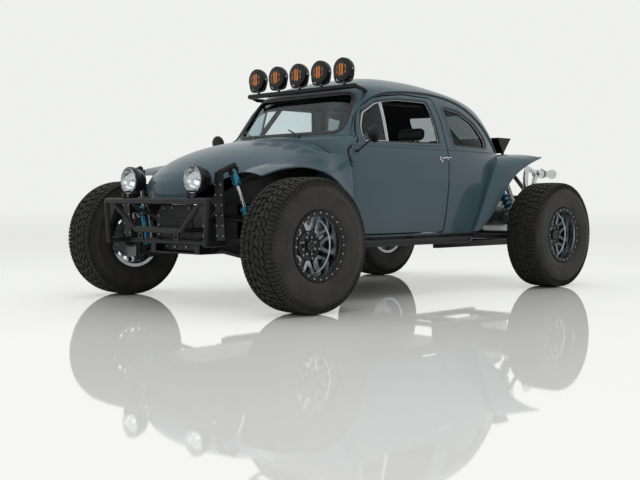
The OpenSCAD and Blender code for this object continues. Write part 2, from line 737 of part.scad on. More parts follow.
module rim_fl() {
    rim(front_axle_x, front_track / 2);
}
module rim_fr() {
    rim(front_axle_x, -front_track / 2);
}
module rim_rl() {
    rim(rear_axle_x, rear_track / 2);
}
module rim_rr() {
    rim(rear_axle_x, -rear_track / 2);
}

frame_y = 250;
cage_y = 345;
arm_d = 2110;
arm_y = 400;
arm_z = 401;
rear_top = [fx(2500), 540, 832];
rear_foot = [fx(2560), rear_track / 2 - 195, axle_z + 44];
module rear_frame() {
    color(black) {
        both_sides() {
            block(fx(3300), fx(pan_end), frame_y, frame_y + 44, 300, 345);
            block(fx(pan_end + 60), fx(pan_end), frame_y, frame_y + 44, 320, 430);
            block(fx(pan_end + 22), fx(pan_end), frame_y, arm_y + 36, 372, 430);
            for (y = [arm_y - 30, arm_y + 30]) block(fx(arm_d + 25), fx(pan_end), y - 6, y + 6, 376, 426);
            round_y(fx(arm_d), arm_y - 38, arm_y + 38, arm_z, 10);
            bars([[fx(2480), 470, 850], [fx(2400), 440, 740], [fx(2284), 268, 325]], 19);
            translate([fx(2480), 470, 850]) sphere(r = 19.6);
            bars([[fx(2480), cage_y, 850], [fx(2860), cage_y, 1010], [fx(3340), 300, 700], [fx(3280), 272, 335]], 17);
            for (s = [-1, 1]) block(rear_top[0] + s * 24 - 5, rear_top[0] + s * 24 + 5, 466, 560, 812, 852);
            round_x(rear_top[0] - 28, rear_top[0] + 28, rear_top[1], rear_top[2], 9);
            bar([fx(2860), cage_y, 1004], [fx(2860), cage_y, 1075], 13);
        }
        bar([fx(2480), -470, 850], [fx(2480), 470, 850], 18);
        difference() {
            union() {
                bar([fx(3340), -300, 700], [fx(3340), 300, 700], 18);
                block(fx(3384), fx(3340), -7, 7, 676, 724);
            }
            round_y(fx(3370), -50, 50, 700, tow_r);
        }
        block(fx(2560), fx(2490), -frame_y - 2, frame_y + 2, 305, 345);
        block(fx(3200), fx(3140), -frame_y - 2, frame_y + 2, 305, 345);
        difference() {
            side_prism(side_xz([[2958, 1193], [2774, 1193], [2800, 1145], [2855, 1066]]), -360, 360);
            side_prism(side_xz([[2940, 1183], [2700, 1183], [2700, 1100], [2856, 1080]]), -350, 350);
        }
    }
}

module rear_arms() {
    hub_y = rear_track / 2 - 150;
    color(black) both_sides() difference() {
        union() {
            round_y(fx(arm_d), arm_y - 23, arm_y + 23, arm_z, 24);
            bars([[fx(arm_d + 10), arm_y, arm_z], [fx(2200), arm_y, arm_z], [fx(2610), hub_y - 30, axle_z - 20]], 20);
            round_y(rear_axle_x, hub_y - 70, hub_y + 30, axle_z, 58);
            bar([fx(2570), hub_y - 60, axle_z - 18], [rear_axle_x, hub_y - 20, axle_z], 32);
            round_y(rear_axle_x, 180, rear_track / 2 + 18, axle_z, spindle_r);
            round_y(rear_axle_x, 170, 250, axle_z, 44);
            for (s = [-1, 1]) block(rear_foot[0] + s * 23 - 4, rear_foot[0] + s * 23 + 4, rear_foot[1] - 22,
                rear_foot[1] + 22, axle_z - 30, rear_foot[2] + 18);
            block(rear_foot[0] - 27, rear_foot[0] + 27, rear_foot[1] - 22, rear_foot[1] + 22, axle_z - 34, axle_z + 12);
            round_x(rear_foot[0] - 27, rear_foot[0] + 27, rear_foot[1], rear_foot[2], 8);
        }
        round_y(fx(arm_d), arm_y - 60, arm_y + 60, arm_z, 10.3);
    }
}
module rear_shocks() {
    p = rear_foot;
    q = rear_top;
    color(steel) both_sides() difference() {
        union() {
            damper(p, q, 30, 37, 8);
            round_x(p[0] - 17, p[0] + 17, p[1], p[2], 19);
            round_x(q[0] - 17, q[0] + 17, q[1], q[2], 20);
        }
        round_x(p[0] - 60, p[0] + 60, p[1], p[2], 8.3);
        round_x(q[0] - 60, q[0] + 60, q[1], q[2], 9.3);
    }
}

module transaxle() {
    color(steel) {
        block(fx(2840), fx(2480), -110, 110, 345, 580);
        round_y(rear_axle_x, -169.5, 169.5, axle_z + 60, 110);
    }
}
head_d = [2960, 3150];
head_y = 395;
module engine() {
    color(steel) {
        block(fx(3270), fx(2840), -130, 130, 345, 700);
        both_sides() for (d = head_d) {
            round_y(fx(d), 120, head_y - 60, 540, 52);
            for (i = [0 : fins - 1]) round_y(fx(d), 150 + 26 * i, 162 + 26 * i, 540, 82);
            block(fx(d) - 80, fx(d) + 80, head_y - 70, head_y, 470, 610);
        }
        round_x(fx(3320), fx(3260), 0, 480, 85);
        round_x(fx(3230), fx(2900), 0, 730, 60);
        both_sides() bar([fx(3060), 50, 730], [fx(3060), 230, 860], 26);
        both_sides() translate([fx(3060), 230, 850]) cylinder(h = 70, r = 52);
        both_sides() bar([fx(3060), 230, 850], [fx(3060), 330, 600], 24);
    }
}
module air_cleaner() {
    color(steel) both_sides() translate([fx(3060), 230, 920]) {
        cylinder(h = 20, r = 92);
        translate([0, 0, 15]) cylinder(h = 70, r = 84);
        for (i = [0 : 3]) translate([0, 0, 24 + 15 * i]) cylinder(h = 7, r = 88);
        translate([0, 0, 80]) cylinder(h = 16, r = 92);
    }
}
module exhaust() {
    tip = wheelbase + tail_overhang;
    color(steel) both_sides() {
        for (d = head_d) translate([0, head_y, 0]) round_y(fx(d), 0, 8, 500, 34);
        bars([[fx(2960), head_y + 2, 500], [fx(2960), 450, 500], [fx(3010), 470, 640], [fx(3060), 440, 880],
            [fx(3130), 410, 950], [fx(3230), 385, 930], [fx(3330), 370, 905]], pipe_r);
        bars([[fx(3150), head_y + 2, 500], [fx(3150), 450, 500], [fx(3170), 465, 640], [fx(3190), 440, 800],
            [fx(3260), 400, 850], [fx(3330), 370, 895]], pipe_r);
        cone([fx(3312), 372, 901], [fx(3440), 355, 905], 42, 29);
        round_x(fx(tip), fx(3420), 355, 905, 26);
        round_x(fx(3470), fx(3446), 355, 905, 33);
        round_x(fx(tip), fx(tip - 12), 355, 905, 29);
    }
}

module seat() {
    profile = side_xz([[1190, 560], [1200, 600], [1500, 585], [1560, 640], [1650, 1120], [1690, 1200],
        [1760, 1190], [1740, 1080], [1640, 520], [1600, sill_z], [1230, sill_z]]);
    side_prism(profile, 110, 540);
}
module seats() {
    color(black) both_sides() seat();
}
module roll_cage() {
    hoop = [[fx(1770), 575, sill_z], [fx(1770), 575, 1040], [fx(1790), 480, 1330], [fx(1790), 300, 1420]];
    color(black) {
        both_sides() {
            bars(hoop, 20);
            translate([fx(1790), 300, 1420]) sphere(r = 20.6);
            bars([[fx(760), 540, sill_z], [fx(760), 540, 940], [fx(1050), 410, 1370], [fx(1790), 380, 1395]], 18);
            bars([[fx(1790), 420, 1372], [fx(2300), 400, 1060], [fx(2430), 380, 860]], 18);
        }
        bar([fx(1790), -300, 1420], [fx(1790), 300, 1420], 20);
        bar([fx(760), -540, 940], [fx(760), 540, 940], 18);
    }
}
column_axis = [-cos(22), 0, sin(22)];
wheel_c = [fx(1160), 325, 985];
module dashboard() {
    color(black) difference() {
        union() {
            side_prism(side_xz([[720, 1040], [850, 1040], [885, 1000], [880, 845], [780, 845], [720, 930]]), -465, 465);
            bar(wheel_c - 330 * column_axis, wheel_c - 90 * column_axis, 24);
        }
        bar([fx(760), -600, 940], [fx(760), 600, 940], 18.3);
        block(fx(790), fx(690), -600, 600, 800, 940);
        bar(wheel_c - 290 * column_axis, wheel_c, 12.05);
    }
}
module steering_wheel() {
    color(black) {
        bar(wheel_c - 280 * column_axis, wheel_c, 12);
        translate(wheel_c) rotate([0, -68, 0]) {
            rotate_extrude() translate([165, 0]) circle(r = 14);
            cylinder(h = 26, r = 42, center = true);
            for (a = [0, 120, 240]) rotate([0, 0, a]) translate([30, -14, -4]) cube([128, 28, 8]);
        }
    }
}

module headlights() {
    color(black) both_sides() {
        translate([fx(-374), headlight_y, headlight_z]) rotate([0, 90, 0]) rotate_extrude()
            polygon([[0, -110], [45, -108], [72, -80], [86, -30], [headlight_r, -24], [headlight_r, 0],
                [76, 4], [40, 14], [0, 18]]);
        translate([front_axle_x + bumper_x, headlight_y, bumper_z + 31]) {
            cylinder(h = 16, r = 14);
            translate([-50, 0, 16]) rotate([0, 0, 0]) block(0, 60, -12, 12, -8, 26);
        }
    }
}
bar_d = 850;
bar_z = 1452;
module light_bar() {
    color(black) difference() {
        union() {
            bar([fx(bar_d), -540, bar_z], [fx(bar_d), 540, bar_z], 18);
            both_sides() {
                translate([fx(bar_d), 540, bar_z]) sphere(r = 18.6);
                bars([[fx(bar_d), 540, bar_z], [fx(bar_d + 80), 548, 1432], [fx(bar_d + 190), 480, 1424]], 14);
                for (i = [0 : (roof_lights_n - 1) / 2]) translate([fx(bar_d), i * roof_light_step, bar_z])
                    cylinder(h = 30, r = 9);
            }
        }
        cabin_form(seat_gap);
    }
}
module roof_lights() {
    n = roof_lights_n;
    color(black) for (i = [0 : n - 1]) {
        y = (i - (n - 1) / 2) * roof_light_step;
        translate([fx(bar_d - 15), y, roof_light_z]) rotate([0, 90, 0]) rotate_extrude()
            polygon([[0, -62], [50, -58], [70, -36], [roof_light_r, -20], [roof_light_r, 14], [70, 18], [0, 22]]);
        translate([fx(bar_d), y, bar_z + 30]) cylinder(h = 24, r = 12);
    }
}

mirror_at = [fx(746), 800, 1108];
mirror_d = 720;
mirror_foot_z = 1002;
module mirror_solid() {
    color(black) {
        translate(mirror_at) rotate([0, -80, -10]) rotate_extrude()
            polygon([[0, -18], [30, -16], [50, -6], [57, 4], [57, 10], [0, 10]]);
        bar([fx(mirror_d), 690, mirror_foot_z], mirror_at + [8, 0, -30], 6);
        round_y(fx(mirror_d), 640, 700, mirror_foot_z, 9);
    }
}
module mirror_left() {
    mirror_solid();
}
module mirror_right() {
    mirror([0, 1, 0]) mirror_solid();
}
wiper_d = 650;
wiper_y = [-260, 200];
module wipers() {
    color(black) for (y = wiper_y) {
        translate([fx(wiper_d), y, 1080]) cylinder(h = 42, r = 9);
        bar([fx(wiper_d), y, 1118], [fx(722), y - 180, 1170], 5);
    }
}

body_shell();
front_body();
hood();
door_left();
door_right();
front_fender_left();
front_fender_right();
rear_fender_left();
rear_fender_right();
floor_pan();
side_bars();
windshield();
rear_window();
quarter_windows();
vent_window_left();
vent_window_right();
front_bumper();
front_frame();
front_arms();
knuckle_left();
knuckle_right();
tie_rods();
front_shocks();
tyre_fl();
tyre_fr();
tyre_rl();
tyre_rr();
rim_fl();
rim_fr();
rim_rl();
rim_rr();
rear_frame();
rear_arms();
transaxle();
engine();
exhaust();
air_cleaner();
rear_shocks();
seats();
roll_cage();
dashboard();
steering_wheel();
headlights();
light_bar();
roof_lights();
mirror_left();
mirror_right();
wipers();
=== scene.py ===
"""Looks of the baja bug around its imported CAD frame.

The frame is in metres: X forward, Y to the car's left, Z up. Sizes in the tables are millimetres,
and places along the car are distances behind the front axle, as on the drawing of the body.
"""

import math

import bpy
import numpy as np
from mathutils import Matrix, Vector


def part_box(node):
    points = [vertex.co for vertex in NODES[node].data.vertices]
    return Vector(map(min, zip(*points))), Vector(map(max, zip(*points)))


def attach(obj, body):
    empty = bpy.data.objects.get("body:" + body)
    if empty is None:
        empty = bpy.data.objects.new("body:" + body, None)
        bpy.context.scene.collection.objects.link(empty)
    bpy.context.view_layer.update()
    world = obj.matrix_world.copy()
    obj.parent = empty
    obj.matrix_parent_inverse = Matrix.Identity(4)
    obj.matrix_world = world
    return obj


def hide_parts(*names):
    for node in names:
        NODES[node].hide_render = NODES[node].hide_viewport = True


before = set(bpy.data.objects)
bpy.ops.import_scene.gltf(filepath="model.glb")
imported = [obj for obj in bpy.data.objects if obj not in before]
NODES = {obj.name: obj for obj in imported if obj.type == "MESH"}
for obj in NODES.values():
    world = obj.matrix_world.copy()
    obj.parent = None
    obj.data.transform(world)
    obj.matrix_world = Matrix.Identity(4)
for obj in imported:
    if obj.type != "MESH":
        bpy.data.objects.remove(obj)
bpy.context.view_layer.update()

MM = 0.001


def middle(node):
    low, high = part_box(node)
    return np.array((low + high) / 2)


FRONT_AXLE = middle("tyre_fl")
AXLE_X = FRONT_AXLE[0] / MM
REAR_D = round(AXLE_X - middle("tyre_rl")[0] / MM)
AXLE_Z = FRONT_AXLE[2] / MM


def at(d, y, z):
    """A point of the car, or points: distance behind the front axle, to the left and up, in mm."""
    return np.stack(np.broadcast_arrays((AXLE_X - d) * MM, y * MM, z * MM), axis=-1)


# Mesh helpers
class Build:
    """Gathers shapes into one mesh, with a material number for each shape."""

    def __init__(self):
        self.verts, self.faces, self.numbers, self.count = [], [], [], 0

    def add(self, shape, number=0):
        verts, faces = shape
        self.verts.append(np.asarray(verts, float))
        self.faces += [[i + self.count for i in face] for face in faces]
        self.numbers += [number] * len(faces)
        self.count += len(verts)
        return self

    def add_both(self, shape, number=0):
        self.add(shape, number)
        return self.add(mirrored(shape), number)

    def to_right(self):
        """Mirrors all that is gathered to the car's right."""
        self.verts = [v * [1, -1, 1] for v in self.verts]
        self.faces = [face[::-1] for face in self.faces]

    def piece(self, name, body, materials, slot=None, replaces=(), sharp=38):
        mesh = bpy.data.meshes.new(name)
        mesh.from_pydata(np.vstack(self.verts).tolist(), [], self.faces)
        for material in materials:
            mesh.materials.append(material)
        mesh.polygons.foreach_set("material_index", self.numbers)
        mesh.validate()
        mesh.shade_smooth()
        mesh.set_sharp_from_angle(angle=math.radians(sharp))
        piece = bpy.data.objects.new(name, mesh)
        bpy.context.scene.collection.objects.link(piece)
        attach(piece, body)
        if replaces:
            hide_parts(*replaces)
        return piece


def mirrored(shape):
    verts, faces = shape
    return np.asarray(verts) * [1, -1, 1], [list(face)[::-1] for face in faces]


def moved(shape, matrix):
    verts, faces = shape
    m = np.array(matrix)
    return np.asarray(verts) @ m[:3, :3].T + m[:3, 3], faces


def grid_faces(rows, columns, wrap=False):
    faces = []
    for i in range(rows - 1):
        for j in range(columns if wrap else columns - 1):
            k = (j + 1) % columns
            faces.append([i * columns + j, i * columns + k, (i + 1) * columns + k, (i + 1) * columns + j])
    return faces


def unit(v):
    """A direction, or rows of them, at length one."""
    v = np.asarray(v, float)
    return v / np.linalg.norm(v, axis=-1, keepdims=True)


def axes_for(direction):
    """Two directions square to the given one."""
    n = unit(direction)
    u = unit(np.cross(n, [0, 0, 1] if abs(n[2]) < 0.9 else [1, 0, 0]))
    return u, np.cross(n, u)


def curve(points, count):
    """A smooth line through the points."""
    p = np.asarray(points, float)
    p = np.vstack([2 * p[0] - p[1], p, 2 * p[-1] - p[-2]])
    out = []
    for s in np.linspace(0, len(p) - 3 - 1e-9, count):
        i, u = int(s) + 1, s - int(s)
        a, b, c, d = p[i - 1], p[i], p[i + 1], p[i + 2]
        out.append(
            0.5 * (2 * b + (c - a) * u + (2 * a - 5 * b + 4 * c - d) * u**2 + (3 * b - a - 3 * c + d) * u**3)
        )
    return np.array(out)


def tube(path, radius, sides=14, closed=False, squash=None, normal=None):
    """A pipe along a path. squash = (across, up) makes it a flat strip about the given normal."""
    p = np.asarray(path, float)
    n = len(p)
    ahead = np.roll(p, -1, 0) - p if closed else np.gradient(p, axis=0)
    if closed:
        ahead = ahead + (p - np.roll(p, 1, 0))
    tangent = unit(ahead)
    radius = np.broadcast_to(radius, n)
    u, _ = axes_for(tangent[0])
    verts = []
    for k in range(n):
        if normal is not None:
            u = unit(np.cross(tangent[k], normal[k] if np.ndim(normal) == 2 else normal))
        else:
            u = unit(u - tangent[k] * (u @ tangent[k]))
        v = np.cross(tangent[k], u)
        for a in np.arange(sides) * 2 * math.pi / sides:
            across, up = squash or (1, 1)
            verts.append(p[k] + radius[k] * (across * math.cos(a) * u + up * math.sin(a) * v))
    faces = grid_faces(n, sides, True)
    if closed:
        last = (n - 1) * sides
        faces += [[last + j, last + (j + 1) % sides, (j + 1) % sides, j] for j in range(sides)]
    else:
        faces += [list(range(sides))[::-1], [(n - 1) * sides + j for j in range(sides)]]
    return np.array(verts), faces


def lathe(profile, origin, axis, segments=48):
    """Turns a profile of (radius, height along the axis), in mm, about an axis."""
    origin, n = np.asarray(origin, float), unit(axis)
    u, v = axes_for(n)
    turn = np.arange(segments) * 2 * math.pi / segments
    around = np.cos(turn)[:, None] * u + np.sin(turn)[:, None] * v
    verts, faces, start = [], [], None
    for r, h in profile:
        base = origin + n * h * MM
        ring = [base] if r <= 0 else list(base + around * r * MM)
        if start is not None:
            a, b, na, nb = start, len(verts), len(verts) - start, len(ring)
            for j in range(segments):
                k = (j + 1) % segments
                if na == 1:
                    faces.append([a, b + k, b + j])
                elif nb == 1:
                    faces.append([a + j, a + k, b])
                else:
                    faces.append([a + j, a + k, b + k, b + j])
        start = len(verts)
        verts += ring
    return np.array(verts), faces


def leftward(outline):
    """An outline in counter-clockwise order."""
    p = np.asarray(outline, float)
    area = np.sum(p[:, 0] * np.roll(p[:, 1], -1) - np.roll(p[:, 0], -1) * p[:, 1])
    return p if area > 0 else p[::-1]


def slab(outline, origin, u, v, low, high, chamfer=0.0):
    """An outline in the plane of u and v, in mm, made solid along their normal with its top edge eased."""
    p = leftward(outline)
    n = len(p)
    inner = offset_outline(p, -chamfer) if chamfer else p
    levels = [(p, low), (p, high - chamfer), (inner, high)] if chamfer else [(p, low), (p, high)]
    origin, u, v = (np.asarray(x, float) for x in (origin, u, v))
    w = np.cross(u, v)
    verts = [origin + MM * (x * u + y * v + h * w) for q, h in levels for x, y in q]
    faces = grid_faces(len(levels), n, True)
    faces += [list(range(n))[::-1], [(len(levels) - 1) * n + j for j in range(n)]]
    return np.array(verts), faces


def offset_outline(p, grow):
    """Moves a counter-clockwise outline outwards."""
    p = np.asarray(p, float)
    a, b = unit(p - np.roll(p, 1, 0)), unit(np.roll(p, -1, 0) - p)
    na, nb = np.c_[a[:, 1], -a[:, 0]], np.c_[b[:, 1], -b[:, 0]]
    k = np.maximum(1 + np.sum(na * nb, axis=1), 0.35)
    return p + grow * (na + nb) / k[:, None]


def block(low, high, ease=3.0):
    """A box between two points, in metres, with eased edges, as three stacked outlines."""
    lo, hi = np.minimum(low, high), np.maximum(low, high)
    e = min(ease * MM, 0.3 * float((hi - lo).min()))
    rows = []
    for z, g in ((lo[2], e), (lo[2] + e, 0), (hi[2] - e, 0), (hi[2], e)):
        x0, x1, y0, y1 = lo[0] + g, hi[0] - g, lo[1] + g, hi[1] - g
        rows += [
            [x0 + e, y0, z], [x1 - e, y0, z], [x1, y0 + e, z], [x1, y1 - e, z],
            [x1 - e, y1, z], [x0 + e, y1, z], [x0, y1 - e, z], [x0, y0 + e, z],
        ]
    faces = grid_faces(4, 8, True)
    return np.array(rows), faces + [list(range(8))[::-1], list(range(24, 32))]


def hexagon(origin, axis, across, height, turn=0.0):
    """A bolt head: a six-sided slab with its top edge eased."""
    u, v = axes_for(axis)
    corners = np.arange(6) * math.pi / 3 + turn
    ring = [(across / 2 * math.cos(a), across / 2 * math.sin(a)) for a in corners]
    return slab(ring, origin, u, v, 0, height, min(1.2, height * 0.3))


# Materials
def surface(name, colour, tone, rough, metal=0.0, scale=30, grain=300, bump=0.1, depth=0.0004,
        spread=0.08, **fixed):
    """Two tones mixed by noise, with an uneven gloss and a fine grain. The rest are shader values by name."""
    made = bpy.data.materials.new(name)
    made.use_nodes = True
    tree = made.node_tree
    shader = tree.nodes["Principled BSDF"]
    shader.inputs["Metallic"].default_value = metal
    for socket, value in fixed.items():
        shader.inputs[socket.replace("_", " ")].default_value = value
    place = tree.nodes.new("ShaderNodeTexCoord")

    def noise(size, detail):
        node = tree.nodes.new("ShaderNodeTexNoise")
        node.inputs["Scale"].default_value = size
        node.inputs["Detail"].default_value = detail
        tree.links.new(place.outputs["Object"], node.inputs["Vector"])
        return node

    patch, fine = noise(scale, 5), noise(grain, 3)
    mix = tree.nodes.new("ShaderNodeMix")
    mix.data_type = "RGBA"
    mix.inputs[6].default_value = (*colour, 1)
    mix.inputs[7].default_value = (*tone, 1)
    steps = tree.nodes.new("ShaderNodeMapRange")
    steps.inputs["From Min"].default_value = 0.35
    steps.inputs["From Max"].default_value = 0.65
    tree.links.new(patch.outputs["Fac"], steps.inputs["Value"])
    tree.links.new(steps.outputs["Result"], mix.inputs[0])
    tree.links.new(mix.outputs[2], shader.inputs["Base Color"])
    gloss = tree.nodes.new("ShaderNodeMapRange")
    gloss.inputs["To Min"].default_value = max(rough - spread, 0)
    gloss.inputs["To Max"].default_value = min(rough + spread, 1)
    tree.links.new(fine.outputs["Fac"], gloss.inputs["Value"])
    tree.links.new(gloss.outputs["Result"], shader.inputs["Roughness"])
    if bump:
        lift = tree.nodes.new("ShaderNodeBump")
        lift.inputs["Strength"].default_value = bump
        lift.inputs["Distance"].default_value = depth
        tree.links.new(fine.outputs["Fac"], lift.inputs["Height"])
        tree.links.new(lift.outputs["Normal"], shader.inputs["Normal"])
    return made


def glass(name, colour, ior=1.3):
    """Clear glazing with a faint smear."""
    shade = tuple(c * 0.94 for c in colour)
    return surface(name, colour, shade, 0, scale=4, grain=2, bump=0, spread=0.0005,
        Transmission_Weight=1.0, IOR=ior)


PAINT = surface(
    "paint", (0.043, 0.077, 0.096), (0.038, 0.070, 0.088), 0.36, scale=3, grain=2600, bump=0.03,
    depth=0.0001, spread=0.05, Coat_Weight=0.38, Coat_Roughness=0.035, Coat_IOR=1.45, Specular_IOR_Level=0.2,
)
BLACK = surface(
    "powder_coat", (0.006, 0.0065, 0.007), (0.010, 0.010, 0.011), 0.36, scale=14, grain=900, bump=0.12,
    depth=0.0002, Specular_IOR_Level=0.22,
)
SATIN = surface(
    "satin_black", (0.005, 0.005, 0.006), (0.009, 0.009, 0.010), 0.26, scale=9, grain=500, bump=0.05,
    Specular_IOR_Level=0.3,
)
RUBBER = surface(
    "tread_rubber", (0.011, 0.011, 0.011), (0.022, 0.021, 0.020), 0.68, scale=26, grain=420, bump=0.35,
    depth=0.0008, Specular_IOR_Level=0.2,
)
SIDEWALL = surface(
    "sidewall_rubber", (0.016, 0.0155, 0.0145), (0.032, 0.030, 0.026), 0.58, scale=7, grain=260, bump=0.2,
    depth=0.0006, Specular_IOR_Level=0.25,
)
SEAL = surface(
    "seal_rubber", (0.010, 0.010, 0.011), (0.020, 0.020, 0.020), 0.5, scale=40, grain=500, bump=0.1,
)
ALLOY = surface(
    "machined_alloy", (0.35, 0.37, 0.39), (0.25, 0.27, 0.29), 0.17, 1.0, scale=18, grain=700, bump=0.05,
    depth=0.0002, spread=0.07,
)
CHROME = surface(
    "chrome", (0.56, 0.57, 0.58), (0.48, 0.49, 0.51), 0.07, 1.0, scale=8, grain=90, bump=0, spread=0.03,
)
STEEL = surface(
    "cast_alloy", (0.36, 0.37, 0.38), (0.25, 0.26, 0.27), 0.40, 0.9, scale=40, grain=380, bump=0.25,
)
TEAL = surface(
    "teal_anodised", (0.030, 0.170, 0.260), (0.022, 0.130, 0.215), 0.26, 0.75, scale=30, grain=600, bump=0.05,
)
REFLECTOR = surface(
    "reflector", (0.60, 0.61, 0.62), (0.52, 0.53, 0.55), 0.12, 1.0, scale=60, grain=160, bump=0.35,
    depth=0.002, spread=0.04,
)
GLASS = glass("window_glass", (0.60, 0.71, 0.74))
TINTED = glass("tinted_glass", (0.30, 0.34, 0.35), 1.15)
LENS = glass("lens_glass", (0.95, 0.97, 0.98))
VINYL = surface(
    "vinyl", (0.007, 0.007, 0.008), (0.012, 0.012, 0.012), 0.55, scale=60, grain=220, bump=0.4, depth=0.0012,
    Sheen_Weight=0.15,
)
AMBER = surface(
    "amber_print", (0.62, 0.20, 0.035), (0.45, 0.13, 0.020), 0.42, scale=22, grain=260, bump=0.1, spread=0.1,
)
LINER = surface(
    "cabin_lining", (0.008, 0.008, 0.009), (0.013, 0.013, 0.014), 0.8, scale=50, grain=500, bump=0.3,
)

# The nodes of the CAD that are shown as they are
for looks, names in (
    (BLACK, ["front_body", "floor_pan", "side_bars", "front_bumper", "front_frame", "front_arms", "tie_rods",
             "knuckle_left", "knuckle_right", "rear_frame", "rear_arms", "roll_cage", "light_bar"]),
    (VINYL, ["dashboard", "steering_wheel"]),
    (SATIN, ["mirror_left", "mirror_right", "wipers"]),
):
    for name in names:
        NODES[name].data.materials.clear()
        NODES[name].data.materials.append(looks)

# Body surfaces, worked out from the same sections as the solids
D_MID = 1435
# Cabin levels: height, front, rear, half width, squareness of the front and of the rear
CABIN = [
    [430, 600, 2700, 652, 18, 4.0], [620, 600, 2740, 682, 18, 3.6], [820, 600, 2770, 697, 18, 3.3],
    [960, 602, 2780, 692, 14, 3.1], [1030, 604, 2770, 680, 10, 3.0], [1090, 614, 2745, 667, 7, 3.0],
    [1120, 688, 2728, 661, 6.5, 3.0], [1200, 742, 2680, 645, 6, 3.0], [1370, 850, 2500, 596, 5.5, 3.0],
    [1450, 905, 2300, 545, 5, 2.9], [1500, 990, 2080, 470, 4.2, 2.7], [1540, 1110, 1870, 368, 3.4, 2.5],
    [1565, 1245, 1665, 235, 2.8, 2.3], [1578, 1415, 1455, 20, 2.2, 2.2],
]
# Hood ribs from the nose to the cowl: middle and edge
HOOD = [
    [-342, 662, -302, 205, 668], [-358, 765, -268, 295, 742], [-320, 830, -198, 368, 792],
    [-240, 890, -108, 428, 836], [-120, 955, 0, 472, 876], [45, 1015, 140, 502, 915],
    [230, 1060, 290, 524, 945], [420, 1092, 440, 542, 968], [594, 1114, 594, 556, 988],
]
# Fender ribs: the edge along the body, the free edge, the swell between, and how far the inner flange drops
FRONT_FENDER = [
    [-95, 466, 850, -150, 716, 822, 12, 1], [-40, 486, 878, -84, 756, 850, 20, 1],
    [20, 500, 895, -10, 762, 868, 26, 1], [150, 520, 925, 140, 764, 882, 26, 1],
    [300, 538, 950, 300, 764, 864, 26, 1], [450, 570, 975, 440, 762, 808, 26, 1],
    [570, 630, 985, 540, 760, 722, 24, 0.5], [650, 692, 930, 590, 758, 620, 10, 0],
    [654, 700, 740, 612, 750, 530, 4, 0], [655, 690, 600, 625, 740, 490, 3, 0],
    [655, 674, 531, 632, 730, 448, 2, 0],
]
REAR_FENDER = [
    [2020, 676, 440, 2050, 690, 446, 2, 0], [2066, 690, 550, 2110, 704, 490, 6, 0],
    [2126, 698, 680, 2190, 732, 590, 12, 0], [2196, 700, 820, 2292, 752, 732, 18, 0],
    [2286, 690, 950, 2440, 760, 872, 22, 0], [2420, 640, 1018, 2640, 762, 968, 20, 0],
    [2560, 545, 1040, 2796, 760, 1018, 12, 0],
]
TUB_Y = 425
# Openings, as distance and height from the side, or distance across and height from the front
DOOR = [
    [665, 446], [665, 1012], [765, 1062], [822, 1205], [922, 1335], [1062, 1392], [1300, 1420],
    [1622, 1414], [1664, 1250], [1690, 1030], [1674, 446],
]
WINDOW = [
    [814, 1070], [832, 1182], [882, 1284], [1000, 1355], [1210, 1386], [1550, 1388], [1594, 1250],
    [1616, 1084],
]
QUARTER = [[1722, 1362], [1925, 1340], [2120, 1262], [2258, 1140], [2250, 1070], [1780, 1076]]
WINDSHIELD = [[-522, 1136], [-482, 1412], [482, 1412], [522, 1136]]
REAR_GLASS = [[-400, 1168], [-330, 1392], [330, 1392], [400, 1168]]
TAIL_CUT = [[2062, 0], [2062, 440], [2400, 860], [2600, 1000], [3000, 1000], [3000, 0]]
DOOR_GAP = 8
DOOR_IN = 600
BELT_TOP = 1052
HINGE = (655, 706)
HINGE_Z = (560, 900)
HINGE_TALL = 28
HINGE_GAP = 0.6
# Where along the car the front and rear openings are cut
WINDSHIELD_REACH = (300, 1150)
REAR_REACH = (2200, 3000)
# About half the cabin's width, and the height from which the roof's inside drops below its skin
MEAN_HALF = 650
ROOF_FROM = 1330
ROOF_RISE = CABIN[-1][0] - ROOF_FROM
# A face with this many sides or more is the cap of the roof, which looks up
CAP_SIDES = 40


def smooth_rows(table, t):
    """Rows of a table at fractional row numbers, on a curve that never overshoots."""
    table, t = np.asarray(table, float), np.asarray(t, float)
    step = np.diff(table, axis=0)
    slope = np.zeros_like(table)
    slope[0], slope[-1] = step[0], step[-1]
    a, b = step[:-1], step[1:]
    slope[1:-1] = np.where(a * b > 0, 2 * a * b / np.where(a + b == 0, 1, a + b), 0)
    i = np.minimum(t.astype(int), len(table) - 2)
    u = (t - i)[:, None]
    p, q, m, n = table[i], table[i + 1], slope[i], slope[i + 1]
    return (
        p * (2 * u**3 - 3 * u**2 + 1) + m * (u**3 - 2 * u**2 + u)
        + q * (3 * u**2 - 2 * u**3) + n * (u**3 - u**2)
    )


FINE_T = np.linspace(0, len(CABIN) - 1, 2000)
FINE_ROWS = smooth_rows(CABIN, FINE_T)


def level_at(z):
    """The cabin's front, rear, half width and squareness at heights z."""
    return [np.interp(z, FINE_ROWS[:, 0], FINE_ROWS[:, c]) for c in range(1, 6)]


def skin_y(d, z):
    """Half width of the cabin at places d and heights z."""
    front, rear, w, ef, er = level_at(z)
    ahead = d < D_MID
    e = np.where(ahead, ef, er)
    u = np.clip(np.abs(D_MID - d) / np.where(ahead, D_MID - front, rear - D_MID), 0, 1)
    return w * (1 - u**e) ** (1 / e)


def skin_d(y, z, ahead=True):
    """Place of the cabin's front or rear face at distances y across and heights z."""
    front, rear, w, ef, er = level_at(z)
    e = ef if ahead else er
    u = (1 - np.clip(np.abs(y) / w, 0, 1) ** e) ** (1 / e)
    return D_MID - (D_MID - front) * u if ahead else D_MID + (rear - D_MID) * u


